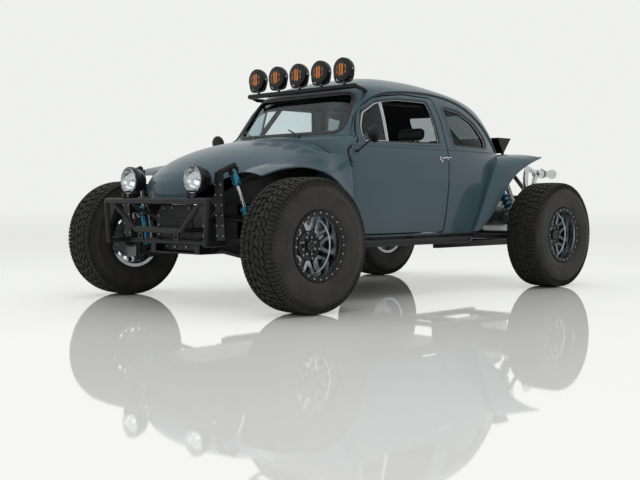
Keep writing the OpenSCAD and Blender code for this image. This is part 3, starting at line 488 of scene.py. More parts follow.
def cabin_outside(points):
    """How far points lie outside the cabin's side, in mm, roughly."""
    d, y, z = AXLE_X - points[:, 0] / MM, np.abs(points[:, 1]) / MM, points[:, 2] / MM
    front, rear, w, ef, er = level_at(z)
    e = np.where(d < D_MID, ef, er)
    u = np.abs(D_MID - d) / np.where(d < D_MID, D_MID - front, rear - D_MID)
    value = (u**e + (y / w) ** e) ** (1 / e)
    return (value - 1) * MEAN_HALF


def cabin_grid(inset, step, columns):
    """The cabin's skin moved inwards, as levels of evenly spaced points."""
    change = np.abs(np.diff(FINE_ROWS[:, :4], axis=0))
    along = np.r_[0, np.cumsum(np.hypot(change[:, 0], change[:, 1:].max(axis=1)))]
    t = np.interp(np.linspace(0, along[-1], int(along[-1] / step)), along, FINE_T)
    angle = np.linspace(0, math.pi, 1600)
    verts = []
    for z, front, rear, w, ef, er in smooth_rows(CABIN, t):
        e = np.where(np.cos(angle) >= 0, ef, er)
        r = (np.abs(np.cos(angle)) ** e + np.abs(np.sin(angle)) ** e) ** (-1 / e)
        reach = np.where(np.cos(angle) >= 0, max(D_MID - front - inset, 5), max(rear - D_MID - inset, 5))
        d, y = D_MID - reach * r * np.cos(angle), max(w - inset, 4) * r * np.sin(angle)
        s = np.r_[0, np.cumsum(np.hypot(np.diff(d), np.diff(y)))]
        even = np.linspace(0, s[-1], columns // 2 + 1)
        d, y = np.interp(even, s, d), np.interp(even, s, y)
        y[0] = y[-1] = 0
        drop = inset * min(max((z - ROOF_FROM) / ROOF_RISE, 0), 1) ** 1.5
        ring = np.c_[np.r_[d, d[-2:0:-1]], np.r_[y, -y[-2:0:-1]], np.full(columns, z - drop)]
        verts.append(ring)
    verts = np.vstack(verts)
    rows = len(verts) // columns
    faces = grid_faces(rows, columns, True) + [[(rows - 1) * columns + j for j in range(columns)]]
    return at(*verts.T), faces


def rounded(points, r, steps=8):
    """An outline with its corners eased."""
    p = np.asarray(points, float)
    out = []
    for i, corner in enumerate(p):
        a, b = p[i - 1] - corner, p[(i + 1) % len(p)] - corner
        la, lb = np.linalg.norm(a), np.linalg.norm(b)
        s, e = corner + a / la * min(r, la * 0.45), corner + b / lb * min(r, lb * 0.45)
        out += [s * (1 - u) ** 2 + corner * 2 * u * (1 - u) + e * u * u for u in np.linspace(0, 1, steps)]
    return leftward(out)


def depth_in(points, outline):
    """Distance of 2-D points from an outline, positive inside it."""
    p, a = np.asarray(points, float), np.asarray(outline, float)
    b = np.roll(a, -1, 0)
    best, odd = np.full(len(p), 1e9), np.zeros(len(p), bool)
    for s, e in zip(a, b):
        v = e - s
        t = np.clip(((p - s) @ v) / (v @ v), 0, 1)
        best = np.minimum(best, np.linalg.norm(p - s - t[:, None] * v, axis=1))
        if s[1] != e[1]:
            crosses = (s[1] > p[:, 1]) != (e[1] > p[:, 1])
            odd ^= crosses & (p[:, 0] < s[0] + (p[:, 1] - s[1]) * v[0] / v[1])
    return np.where(odd, best, -best)


def side_places(points):
    return np.c_[AXLE_X - points[:, 0] / MM, points[:, 2] / MM]


def front_places(points):
    return points[:, 1:] / MM


def from_side(outline, inside=True):
    """A field over points that is positive where the part inside, or outside, a side outline is kept."""
    sign = 1 if inside else -1
    return lambda p: sign * depth_in(side_places(p), outline)


def from_front(outline, d_from, d_to, inside=True):
    def field(p):
        d = AXLE_X - p[:, 0] / MM
        depth = np.where((d > d_from) & (d < d_to), depth_in(front_places(p), outline), -500)
        return depth if inside else -depth

    return field


def in_doorway(outline, inner, inside=True):
    """A field for a doorway, which ends at the hinge post below the belt."""
    sign = 1 if inside else -1

    def field(p):
        past_post = np.maximum(np.abs(p[:, 1]) / MM - inner, p[:, 2] / MM - BELT_TOP)
        return sign * np.minimum(depth_in(side_places(p), outline), past_post)

    return field


def cut(shape, values, both=False):
    """Cuts a mesh where values cross zero, and keeps the positive side, or both sides."""
    verts, faces = list(shape[0]), []
    values = np.where(np.abs(values) < 1e-6, 1e-6, values).tolist()
    made = {}

    def crossing(i, j):
        key = (min(i, j), max(i, j))
        if key not in made:
            u = values[i] / (values[i] - values[j])
            made[key] = len(verts)
            verts.append(verts[i] + u * (verts[j] - verts[i]))
        return made[key]

    for face in shape[1]:
        signs = [values[i] > 0 for i in face]
        if all(signs) or (both and not any(signs)):
            faces.append(list(face))
        elif any(signs):
            kept, left = [], []
            for i, j in zip(face, [*face[1:], face[0]]):
                (kept if values[i] > 0 else left).append(i)
                if (values[i] > 0) != (values[j] > 0):
                    kept.append(crossing(i, j))
                    left.append(kept[-1])
            faces.append(kept)
            if both:
                faces.append(left)
    return tidied(np.array(verts), faces)


def tidied(verts, faces):
    """Drops points that no face uses."""
    used = sorted({i for face in faces for i in face})
    renumber = {old: new for new, old in enumerate(used)}
    return verts[used], [[renumber[i] for i in face] for face in faces]


def trim(shape, fields, roll=4.0):
    """Keeps a mesh where every field is positive, and rolls its cut edges inwards."""
    for field in fields:
        for height in (roll, roll * 0.3):
            shape = cut(shape, field(shape[0]) - height, both=True)
        shape = cut(shape, field(shape[0]))
    verts, faces = shape
    depth = np.clip(np.min([field(verts) for field in fields], axis=0), 0, roll)
    sink = roll - np.sqrt(np.maximum(roll**2 - (roll - depth) ** 2, 0))
    return verts - normals(shape) * (sink * MM)[:, None], faces


def normals(shape):
    verts, faces = shape
    total = np.zeros_like(verts)
    for size in {len(face) for face in faces}:
        f = np.array([face for face in faces if len(face) == size])
        p = verts[f]
        if size < CAP_SIDES:
            n = np.sum(np.cross(p, np.roll(p, -1, axis=1)), axis=1)
        else:
            n = np.tile([0, 0, 1e-4], (len(f), 1))
        for k in range(size):
            np.add.at(total, f[:, k], n)
    return total / np.maximum(np.linalg.norm(total, axis=1), 1e-12)[:, None]


def thick(build, shape, t, outside=0, inside=0):
    """Adds a skin with its inner side and rim to a build."""
    verts, faces = shape
    n = len(verts)
    inner = verts - normals(shape) * t * MM
    edges = {}
    for face in faces:
        for i, j in zip(face, [*face[1:], face[0]]):
            edges[(i, j)] = edges.get((i, j), 0) + 1
    rim = [[j, i, i + n, j + n] for i, j in edges if (j, i) not in edges]
    start = build.count
    build.add((np.vstack([verts, inner]), faces), outside)
    build.faces += [[i + start for i in face] for face in rim]
    build.numbers += [outside] * len(rim)
    build.faces += [[i + n + start for i in face[::-1]] for face in faces]
    build.numbers += [inside] * len(faces)
    return build


door_line = rounded(DOOR, 30)
door_hole = offset_outline(door_line, DOOR_GAP)
window_line = rounded(WINDOW, 24)
quarter_line = rounded(QUARTER, 34)
windshield_line = rounded(WINDSHIELD, 70)
rear_line = rounded(REAR_GLASS, 80)
tail_line = rounded(TAIL_CUT, 20)


def knuckle(z):
    """A door hinge's barrel."""
    profile = [(0, 0), (7, 0), (9, 2), (9, HINGE_TALL - 2), (7, HINGE_TALL), (0, HINGE_TALL)]
    return lathe(profile, at(*HINGE, z), (0, 0, 1), 24)


def body_shell():
    skin = cabin_grid(0, 13, 392)
    fields = [
        in_doorway(door_hole, DOOR_IN - DOOR_GAP, False),
        from_side(quarter_line, False),
        from_side(tail_line, False),
        from_front(windshield_line, *WINDSHIELD_REACH, False),
        from_front(rear_line, *REAR_REACH, False),
    ]
    shell = thick(Build(), trim(skin, fields), 38, 0, 1)
    for z in HINGE_Z:
        shell.add_both(knuckle(z), 0)
        shell.add_both(block(at(HINGE[0] - 10, 640, z), at(*HINGE, z + HINGE_TALL)), 0)
    return shell.piece("body_shell_skin", "chassis", [PAINT, LINER], "paint", ["body_shell"])


def door(side, name):
    skin = cabin_grid(0, 10, 520)
    skin = cut(skin, skin[0][:, 1])
    outer = trim(skin, [in_doorway(door_line, DOOR_IN), from_side(window_line, False)])
    card = cabin_grid(33, 14, 400)
    card = cut(card, card[0][:, 1] - DOOR_IN * MM)
    card = cut(card, (BELT_TOP - 6) * MM - card[0][:, 2])
    card = trim(card, [from_side(offset_outline(door_line, -12))], 8)
    build = Build()
    thick(build, outer, 30)
    thick(build, card, 24, 1, 1)
    for z in HINGE_Z:
        low = z + HINGE_TALL + HINGE_GAP
        build.add(knuckle(low), 0)
        build.add(block(at(HINGE[0], HINGE[1] - 12, low), at(HINGE[0] + 35, HINGE[1], low + HINGE_TALL)), 0)
    if side < 0:
        build.to_right()
    return build.piece(f"{name}_skin", name, [PAINT, VINYL], "paint", [name])


def hood_surface():
    s = np.linspace(0, len(HOOD) - 1.001, 110)
    rows = smooth_rows(HOOD, s)
    edge = np.array([1, 0.994, 0.982])
    u = np.r_[-edge, np.linspace(-0.96, 0.96, 80), edge[::-1]]
    d_c, z_c, d_e, y_e, z_e = (rows[:, [k]] for k in range(5))
    d = d_c + (d_e - d_c) * u**2
    z = z_c - (z_c - z_e) * np.abs(u) ** 2.4
    y = y_e * u
    shape = verts, faces = at(d, y, z).reshape(-1, 3), grid_faces(len(s), len(u))
    sink = np.zeros((len(s), len(u)))
    sink[:, [0, -1]], sink[:, [1, -2]] = 4, 0.9
    sink[[0, -1], :] = 4
    return verts - normals(shape) * (sink.reshape(-1, 1) * MM), faces


def hood():
    build = thick(Build(), hood_surface(), 16)
    return build.piece("hood_skin", "hood", [PAINT], "paint", ["hood"])


def fender_surface(table, axis, flange):
    rows = smooth_rows(table, np.linspace(0, len(table) - 1.001, 10 * len(table)))
    u = np.r_[np.linspace(0, 0.96, 30), 0.985, 1]
    lines = []
    for d_i, y_i, z_i, d_o, y_o, z_o, swell, drop in rows:
        d, y, z = d_i + (d_o - d_i) * u, y_i + (y_o - y_i) * u, z_i + (z_o - z_i) * u
        away = unit(np.c_[d - axis[0], z - axis[1]])
        lift = 0.7 * swell * np.sin(math.pi * u)
        line = np.c_[d + away[:, 0] * lift, y + lift, z + away[:, 1] * lift]
        if flange:
            start = [d_i, (TUB_Y + 0.3) * drop + (y_i - 110) * (1 - drop), z_i - 96 * drop]
            bend = [d_i, y_i - 4 - 50 * (1 - drop), z_i - 42 * drop]
            inner = curve([start, bend, line[0]], 9)[:-1]
        else:
            inner = np.linspace([d_i, y_i - 90, z_i], line[0], 9)[:-1]
        lines.append(np.vstack([inner, line]))
    points = np.array(lines)
    verts = at(*np.moveaxis(points, -1, 0))
    rows_n, columns = points.shape[:2]
    return verts.reshape(-1, 3), grid_faces(rows_n, columns), verts[:, -1]


def fender(table, axis, flange, node, side):
    verts, faces, lip = fender_surface(table, axis, flange)
    shape = cut((verts, faces), cabin_outside(verts) - 0.5)
    if flange:
        for z in HINGE_Z:
            front, rear = HINGE[0] - 16, HINGE[0] + 40
            notch = [(front, z - 6), (rear, z - 6), (rear, z + 63), (front, z + 63)]
            shape = cut(shape, from_side(notch, False)(shape[0]))
    build = thick(Build(), shape, 5, 0, 1)
    build.add(tube(lip + [0, -0.004, 0], 0.007, 10))
    if side < 0:
        build.to_right()
    return build.piece(f"{node}_skin", "chassis", [PAINT, BLACK], "paint", [node])


body_shell()
hood()
for side, word in ((1, "left"), (-1, "right")):
    door(side, f"door_{word}")
    fender(FRONT_FENDER, (150, 340), True, f"front_fender_{word}", side)
    fender(REAR_FENDER, (REAR_D, 300), False, f"rear_fender_{word}", side)

# Wheels
TYRE_R, BEAD_R = 406.5, 190
TREAD_DEPTH = 13
PITCHES = 46
# Half of the carcass, from the bead to the middle of the tread: radius, distance from the middle plane
CARCASS = [
    (BEAD_R, 108), (BEAD_R + 8, 113), (BEAD_R + 20, 116), (BEAD_R + 28, 126), (BEAD_R + 34, 133),
    (BEAD_R + 48, 137.5), (BEAD_R + 70, 141), (BEAD_R + 98, 142.5), (BEAD_R + 124, 141.6),
    (BEAD_R + 128, 143), (BEAD_R + 133, 143), (BEAD_R + 137, 140.8), (BEAD_R + 152, 138.5),
    (BEAD_R + 172, 134), (TYRE_R - 24, 126), (TYRE_R - 17, 112),
    (TYRE_R - TREAD_DEPTH, 88), (TYRE_R - TREAD_DEPTH + 1, 45), (TYRE_R - TREAD_DEPTH + 1, 0),
]
# Tread blocks of one pitch: corners as share of a pitch and distance across, from the middle to the left
BLOCKS = [
    [(-0.46, 4), (0.10, 4), (0.30, 20), (0.30, 38), (-0.10, 38), (-0.46, 22)],
    [(-0.30, 46), (0.10, 44), (0.34, 58), (0.40, 78), (0.06, 80), (-0.36, 66)],
    [(0.46, 44), (0.62, 46), (0.58, 62), (0.46, 60)],
]
SHOULDER_BLOCKS = [
    [(-0.36, 86), (0.02, 88), (0.06, 112), (0.05, 128), (-0.37, 128), (-0.38, 110)],
    [(0.14, 90), (0.52, 86), (0.54, 110), (0.54, 128), (0.13, 128), (0.16, 112)],
]


def tread_radius(v):
    """Radius of the tread's top at a distance from the middle plane."""
    v = abs(v)
    return TYRE_R - 1.5 * (v / 80) ** 2 if v < 95 else TYRE_R - 2.1 - 10.5 * ((v - 95) / 38) ** 2


def tread_point(turn, v, h):
    r = (tread_radius(v) + h) * MM
    return [r * math.sin(turn), v * MM, r * math.cos(turn)]


def tread_block(corners, turn, side, chamfer=1.6):
    """A rubber block that stands on the carcass, with its top edge eased."""
    p = np.array(corners, float)
    pitch = 2 * math.pi / PITCHES
    flat = leftward(np.c_[p[:, 0] * pitch * TYRE_R, p[:, 1]])
    inner = offset_outline(flat, -chamfer)
    foot = offset_outline(flat, 1.2)
    levels = [(foot, -TREAD_DEPTH - 4), (flat, -chamfer), (inner, 0)]
    verts = [tread_point(turn + s / TYRE_R, v * side, h) for ring, h in levels for s, v in ring]
    n = len(flat)
    faces = grid_faces(3, n, True) + [[2 * n + j for j in range(n)]]
    return np.array(verts), faces if side < 0 else [face[::-1] for face in faces]


def shoulder_lug(corners, turn, side):
    """A lug that runs from the tread over the shoulder on to the sidewall."""
    p = np.array(corners, float)
    pitch = 2 * math.pi / PITCHES
    a0, a1 = p[-2, 0] * pitch, p[-1, 0] * pitch
    rows = [(TYRE_R - 12.5, 128, 0), (TYRE_R - 24, 136.5, 0), (TYRE_R - 42, 139.8, 0.1),
        (TYRE_R - 56, 139.6, 0.2)]
    verts = []
    for r, v, pull in rows:
        for a, lift in ((a0, -7), (a0 + pull * (a1 - a0), 0), (a1 - pull * (a1 - a0), 0), (a1, -7)):
            verts.append([r * MM * math.sin(turn + a), (v + lift) * side * MM, r * MM * math.cos(turn + a)])
    faces = grid_faces(4, 4)
    return np.array(verts), faces if side > 0 else [face[::-1] for face in faces]


def tyre():
    build = Build()
    profile = CARCASS + [(r, -v) for r, v in CARCASS[-2::-1]]
    build.add(lathe(profile, (0, 0, 0), (0, 1, 0), 120), 1)
    for i in range(PITCHES):
        turn = 2 * math.pi * i / PITCHES
        for side in (1, -1):
            shift = 0.5 * 2 * math.pi / PITCHES if side < 0 else 0
            for corners in BLOCKS + SHOULDER_BLOCKS:
                build.add(tread_block(corners, turn + shift, side))
            for corners in SHOULDER_BLOCKS:
                build.add(shoulder_lug(corners, turn + shift, side))
    return build


SPOKES = 8
RIM_HALF = 120
FACE = 30


def polar(r, degrees):
    return r * math.cos(math.radians(degrees)), r * math.sin(math.radians(degrees))


def spoke_outline(turn):
    """A spoke that leaves the hub as one bar and splits in two towards the barrel."""
    left = [polar(58, -15), polar(92, -10.5), polar(112, -13), polar(140, -16.5), polar(176, -19)]
    fork = [polar(176, -10), polar(140, -6.5), polar(118, -2.5)]
    outline = left + fork + [(x, -y) for x, y in fork[::-1][1:]] + [(x, -y) for x, y in left[::-1]]
    c, s = math.cos(turn), math.sin(turn)
    return [(c * x - s * y, s * x + c * y) for x, y in outline]


def rim():
    """A wheel about Y with its face to +Y: barrel, spokes, hub and the bolted bead ring."""
    build = Build()
    u, v, n = np.array([0, 0, 1.0]), np.array([1.0, 0, 0]), np.array([0, 1.0, 0])
    barrel = [
        (BEAD_R + 16, -RIM_HALF), (BEAD_R + 16, -RIM_HALF + 7), (BEAD_R - 1, -RIM_HALF + 10),
        (BEAD_R - 1, RIM_HALF - 10), (BEAD_R + 2, RIM_HALF - 4), (BEAD_R - 7, RIM_HALF + 1),
        (BEAD_R - 11, RIM_HALF - 8), (BEAD_R - 13, RIM_HALF - 30), (BEAD_R - 15, FACE + 12),
        (BEAD_R - 21, FACE + 6), (BEAD_R - 22, FACE - 24), (BEAD_R - 18, FACE - 40),
        (BEAD_R - 16, -RIM_HALF + 18), (BEAD_R - 6, -RIM_HALF), (BEAD_R + 16, -RIM_HALF),
    ]
    build.add(lathe(barrel, (0, 0, 0), n, 96), 0)
    for i in range(SPOKES):
        build.add(slab(spoke_outline(2 * math.pi * i / SPOKES), (0, 0, 0), u, v, FACE - 24, FACE, 4), 0)
    hub = [(46, -66), (66, -66), (66, FACE - 4), (62, FACE + 1), (44, FACE + 1), (44, FACE + 5),
        (40, FACE + 8), (0, FACE + 8)]
    build.add(lathe(hub, (0, 0, 0), n, 64), 1)
    cap = [(36, FACE + 8), (36, FACE + 22), (33, FACE + 26), (18, FACE + 27), (15, FACE + 24), (0, FACE + 24)]
    build.add(lathe(cap, (0, 0, 0), n, 48), 1)
    flange = [(60, FACE - 3), (84, FACE - 1), (90, FACE + 2), (90, FACE + 8), (86, FACE + 11),
        (70, FACE + 11), (67, FACE + 7), (60, FACE + 6)]
    build.add(lathe(flange, (0, 0, 0), n, 64), 1)
    ring = [
        (BEAD_R - 9, RIM_HALF + 1), (BEAD_R - 8, RIM_HALF + 6), (BEAD_R - 4, RIM_HALF + 8),
        (BEAD_R + 16, RIM_HALF + 8), (BEAD_R + 20, RIM_HALF + 5), (BEAD_R + 20, RIM_HALF - 6),
        (BEAD_R + 2, RIM_HALF - 8),
    ]
    build.add(lathe(ring, (0, 0, 0), n, 96), 3)
    # Circles of bolts: how many, radius, first angle, height, width, how tall, turn from one to the next
    for count, r, first, h, across, tall, turn in (
        (6, 78, 15, FACE + 11, 13, 6, 1),
        (8, 53, 22.5, FACE + 1, 15, 9, 1),
        (6, 27, 0, FACE + 26, 6, 3, 1),
        (24, BEAD_R + 6, 0, RIM_HALF + 7.5, 12, 7, 0.4),
    ):
        for i in range(count):
            x, y = polar(r, 360 / count * i + first)
            build.add(hexagon(x * u * MM + y * v * MM + n * h * MM, n, across, tall, turn * i), 2)
    disc = [(60, -64), (138, -64), (139, -62), (139, -56), (138, -54), (60, -54)]
    build.add(lathe(disc, (0, 0, 0), n, 72), 4)
    return build


def placed(build, place, side):
    """A wheel's build at its place, turned so that its face looks outwards."""
    spot = Build()
    turn = Matrix.Rotation(math.pi, 4, "Z") if side < 0 else Matrix.Identity(4)
    spot.verts = [moved((v, []), Matrix.Translation(place) @ turn)[0] for v in build.verts]
    spot.faces, spot.numbers, spot.count = build.faces, build.numbers, build.count
    return spot


tyre_build, rim_build = tyre(), rim()
for wheel in ("fl", "fr", "rl", "rr"):
    place = Vector(middle(f"tyre_{wheel}"))
    side = 1 if place.y > 0 else -1
    body = f"wheel_{wheel}"
    placed(tyre_build, place, side).piece(
        f"tyre_{wheel}_tread", body, [RUBBER, SIDEWALL], "rubber", [f"tyre_{wheel}"]
    )
    placed(rim_build, place, side).piece(
        f"rim_{wheel}_wheel", body, [ALLOY, SATIN, STEEL, BLACK, STEEL], "alloy", [f"rim_{wheel}"]
    )


# Trim on the cabin: lines drawn on its skin
def side_line(points, lift=0.0):
    """Points on the cabin's left side at places and heights, and the skin's direction there."""
    d, z = np.asarray(points, float).T
    step = 2.0
    slope_d = (skin_y(d + step, z) - skin_y(d - step, z)) / (2 * step)
    slope_z = (skin_y(d, z + step) - skin_y(d, z - step)) / (2 * step)
    n = unit(np.c_[slope_d, np.ones(len(d)), -slope_z])
    return at(d, skin_y(d, z), z) + n * lift * MM, n


def end_line(points, ahead=True, lift=0.0):
    """Points on the cabin's front or rear at distances across and heights, and the skin's direction there."""
    y, z = np.asarray(points, float).T
    step = 2.0
    slope_y = (skin_d(y + step, z, ahead) - skin_d(y - step, z, ahead)) / (2 * step)
    slope_z = (skin_d(y, z + step, ahead) - skin_d(y, z - step, ahead)) / (2 * step)
    n = unit(np.c_[np.ones(len(y)), slope_y, slope_z] * (1 if ahead else -1))
    return at(skin_d(y, z, ahead), y, z) + n * lift * MM, n


def strip(line, radius, squash, closed=True, sides=12):
    points, n = line
    return tube(points, radius * MM, sides, closed, squash, n)


def even(outline, count, closed=True):
    """The same outline with evenly spaced points."""
    p = np.asarray(outline, float)
    if closed:
        p = np.vstack([p, p[:1]])
    s = np.r_[0, np.cumsum(np.linalg.norm(np.diff(p, axis=0), axis=1))]
    t = np.linspace(0, s[-1], count + 1)[:-1] if closed else np.linspace(0, s[-1], count)
    return np.c_[np.interp(t, s, p[:, 0]), np.interp(t, s, p[:, 1])]


# The gutter over the doors, from the cowl along the pillar and the roof to the tail
GUTTER = [
    (752, 1100), (792, 1190), (846, 1268), (925, 1348), (1040, 1404), (1180, 1432), (1400, 1448),
    (1660, 1446), (1900, 1412), (2100, 1342), (2260, 1252), (2388, 1140), (2460, 1050),
]
BELT_Z = 1047
HANDLE_Z = 976
VENT_D = 1056


def cabin_trim():
    build = Build()
    gutter = curve(GUTTER, 120)
    build.add_both(strip(side_line(gutter, 4), 8, (0.75, 1.0), False), 0)
    build.add_both(strip(side_line(gutter - [0, 10], 0.5), 4, (1, 0.6), False), 1)
    belt = np.c_[np.linspace(1706, 2372, 60), np.full(60, BELT_Z)]
    build.add_both(strip(side_line(belt, 0.5), 9, (1, 0.42), False), 0)
    quarter = even(quarter_line, 150)
    build.add_both(strip(side_line(even(offset_outline(quarter_line, 15), 150), -0.5), 11, (1, 0.5)), 0)
    build.add_both(strip(side_line(quarter, -5), 9, (1, 0.9)), 1)
    build.add_both(strip(side_line(even(offset_outline(quarter_line, -8), 150), -9), 2.5, (1, 1)), 2)
    build.add(strip(end_line(even(offset_outline(windshield_line, 4), 220), True, -1), 17, (1, 0.5)), 1)
    build.add(strip(end_line(even(offset_outline(rear_line, 4), 180), False, -1), 17, (1, 0.5)), 1)
    return build.piece("cabin_trim", "chassis", [PAINT, SEAL, CHROME], "paint")


def door_trim(side, word):
    build = Build()
    surround = even(offset_outline(window_line, 13), 170)
    build.add(strip(side_line(surround, -0.5), 10, (1, 0.55)), 0)
    build.add(strip(side_line(even(offset_outline(window_line, 0), 170), -7), 7, (1, 1)), 1)
    build.add(strip(side_line(even(offset_outline(window_line, -6), 170), -10), 2.4, (1, 1)), 2)
    belt = np.c_[np.linspace(700, 1676, 90), np.full(90, BELT_Z)]
    build.add(strip(side_line(belt, 0.5), 9, (1, 0.42), False), 0)
    vent = np.array([p for p in even(offset_outline(window_line, -9), 170) if p[0] < VENT_D - 4])
    order = np.argsort(np.arctan2(vent[:, 1] - 1200, vent[:, 0] - 950))
    build.add(strip(side_line(even(vent[order], 120), -12), 5, (1, 1)), 2)
    bar = np.c_[np.full(20, VENT_D), np.linspace(1076, 1366, 20)]
    build.add(strip(side_line(bar, -11), 7, (1, 1), False), 2)
    # The pull of the handle: place, height over the handle's line and distance from the skin
    pull = np.array([(1598, 0, 2), (1602, 0, 20), (1616, 1, 31), (1650, 1, 34), (1684, 0, 28), (1689, 0, 6)])
    points, n = side_line(pull[:, :2] + [0, HANDLE_Z])
    path = curve(points + n * (pull[:, 2] * MM)[:, None], 40)
    build.add(tube(path, 0.0078, 12, False, (1, 0.8)), 2)
    for d, r in ((1600, 15), (1686, 12)):
        (spot,), (n,) = side_line([(d, HANDLE_Z)])
        build.add(lathe([(r, -2), (r, 2), (r - 3, 5), (0, 6)], spot, n, 24), 2)
    (spot,), (n,) = side_line([(1612, HANDLE_Z - 18)])
    build.add(lathe([(9, -2), (9, 3), (7, 5), (3, 5), (3, 3), (0, 3)], spot, n, 24), 2)
    if side < 0:
        build.to_right()
    return build.piece(f"door_{word}_trim", f"door_{word}", [PAINT, SEAL, CHROME], "paint")


def pane(name, body, fields, node, sides=None, looks=GLASS):
    """A window pane, a little behind the skin: the whole cut, or its left side put on the sides given."""
    skin = cabin_grid(14, 16, 360)
    for field in fields:
        skin = cut(skin, field(skin[0]))
    build = Build()
    if sides is None:
        thick(build, skin, 5)
    else:
        skin = cut(skin, skin[0][:, 1])
        for side in sides:
            thick(build, skin if side > 0 else mirrored(skin), 5)
    return build.piece(name, body, [looks], "glass", [node])


def ahead_of_vent(points):
    return VENT_D - side_places(points)[:, 0]


pane("windshield_pane", "chassis", [from_front(windshield_line, *WINDSHIELD_REACH)], "windshield")
pane("rear_pane", "chassis", [from_front(rear_line, *REAR_REACH)], "rear_window", looks=TINTED)
pane("quarter_panes", "chassis", [from_side(quarter_line)], "quarter_windows", (1, -1), TINTED)
cabin_trim()
for side, word in ((1, "left"), (-1, "right")):
    door_trim(side, word)
    vent_fields = [from_side(window_line), ahead_of_vent]
    pane(f"vent_pane_{word}", f"door_{word}", vent_fields, f"vent_window_{word}", (side,))

# Lamps
HEADLIGHT = (-374, 340, 803)
HEADLIGHT_FOOT = (-413, 702)
ROOF_LIGHTS = 5
ROOF_LIGHT_D, ROOF_LIGHT_Z, ROOF_LIGHT_STEP = 835, 1568, 221
BAR_D, BAR_Z = 850, 1482
AHEAD = np.array([1.0, 0, 0])
UP = np.array([0, 0, 1.0])
LEFT = np.array([0, 1.0, 0])


def headlights():
    build = Build()
    for y in (HEADLIGHT[1], -HEADLIGHT[1]):
        spot = at(HEADLIGHT[0], y, HEADLIGHT[2])
        bucket = [
            (0, -110), (26, -109), (45, -106), (60, -94), (72, -78), (80, -55), (86, -30), (91, -26),
            (91, -6), (84, -4),
        ]
        ring = [(91, -9), (92, -3), (91, 2), (88, 5), (84, 5), (80, 1), (79, -3)]
        bright_line = [(84, 4), (84, 6.5), (81, 6.5), (80, 1)]
        bowl = [(80, -3), (76, -16), (66, -34), (50, -48), (30, -57), (14, -60), (0, -61)]
        bulb = [(11, -60), (11, -44), (9, -40), (9, -26), (6, -21), (0, -20)]
        for profile, segments, number in (
            (bucket, 64, 0), (ring, 64, 0), (bright_line, 64, 1), (bowl, 64, 2), (bulb, 24, 1),
        ):
            build.add(lathe(profile, spot, AHEAD, segments), number)
        for turn in range(0, 360, 30):
            x, z = polar(88, turn)
            build.add(hexagon(spot + (x * LEFT + z * UP + 4 * AHEAD) * MM, AHEAD, 5, 2), 1)
        foot = at(HEADLIGHT_FOOT[0], y, HEADLIGHT_FOOT[1])
        build.add(lathe([(14, 0), (14, 14), (11, 18), (9, 18), (9, 30)], foot, UP, 24), 0)
        bracket = [(-24, -14), (24, -14), (24, 14), (-24, 14)]
        build.add(slab(bracket, foot + UP * 0.030 - AHEAD * 0.026, AHEAD, LEFT, -6, 4, 1.5), 0)
    looks = [SATIN, CHROME, REFLECTOR]
    return build.piece("headlight_buckets", "chassis", looks, "lamp_black", ["headlights"])


def headlight_lenses():
    build = Build()
    for y in (HEADLIGHT[1], -HEADLIGHT[1]):
        dome = [(81, -1), (78, 4), (66, 9), (48, 13), (26, 16), (0, 17)]
        verts, faces = lathe(dome, at(HEADLIGHT[0], y, HEADLIGHT[2]), AHEAD, 64)
        build.add((verts, faces))
        build.add((verts - AHEAD * 0.003, [face[::-1] for face in faces]))
    return build.piece("headlight_lenses", "chassis", [LENS], "glass")


def roof_lights():
    build = Build()
    for i in range(ROOF_LIGHTS):
        y = (i - ROOF_LIGHTS // 2) * ROOF_LIGHT_STEP
        spot = at(ROOF_LIGHT_D, y, ROOF_LIGHT_Z)
        shell = [(0, -62), (30, -61), (50, -57), (64, -45), (72, -34), (80, -24), (82, -18), (82, 4), (80, 7)]
        build.add(lathe(shell, spot, AHEAD, 64), 0)
        for h in (-50, -43, -36):
            r = np.interp(h, [-57, -45, -34], [50, 64, 72])
            build.add(lathe([(r, h - 1.5), (r + 4, h - 1), (r + 4, h + 1), (r, h + 1.5)], spot, AHEAD, 48), 0)
        cover = [
            (82, 2), (82, 9), (80, 13), (76, 15), (74, 13), (71, 14), (60, 17), (40, 20), (18, 21.5), (0, 22),
        ]
        build.add(lathe(cover, spot, AHEAD, 64), 1)
        for across, tall in ((-34, 31), (-11, 45), (12, 45), (35, 31)):
            face = [(across - 8, -tall), (across + 8, -tall + 9), (across + 8, tall), (across - 8, tall - 9)]
            h = 22 - 7 * ((abs(across) + 6) / 70) ** 2
            build.add(slab(face, spot, LEFT, UP, h - 6, h + 0.4, 1.0), 2)
        pivot = spot - AHEAD * 0.010
        bends = []
        for s in (-1, 1):
            build.add(lathe([(9, -4), (9, 5), (6, 8), (0, 8)], pivot + LEFT * s * 0.082, LEFT * s, 20), 3)
            top = pivot + LEFT * s * 0.088
            foot = np.array([top[0], top[1] - s * 0.030, (BAR_Z + 6) * MM])
            bends += [top, top - UP * 0.045, foot][::-s]
        path = curve(bends, 44)
        build.add(tube(path, 0.006, 10, False, (1.4, 0.6)), 0)
        post = at(BAR_D, y, BAR_Z)
        build.add(lathe([(12, 0), (12, 12), (8, 14), (8, 20)], post, UP, 24), 3)
    looks = [SATIN, SATIN, AMBER, STEEL]
    return build.piece("roof_light_pods", "chassis", looks, "lamp_black", ["roof_lights"])


headlights()
headlight_lenses()
roof_lights()

# Suspension and engine dressing
SHOCK_TOP, SHOCK_FOOT = (-180, 490, 842), (-58, 586, 354)
REAR_TOP, REAR_FOOT = (2500, 540, 832), (2560, 705, AXLE_Z + 44)


def eye(build, place, number, r=19, half=17):
    profile = [(9, -half), (r - 2, -half), (r, -half + 2), (r, half - 2), (r - 2, half), (9, half)]
    build.add(lathe(profile, place, AHEAD, 32), number)


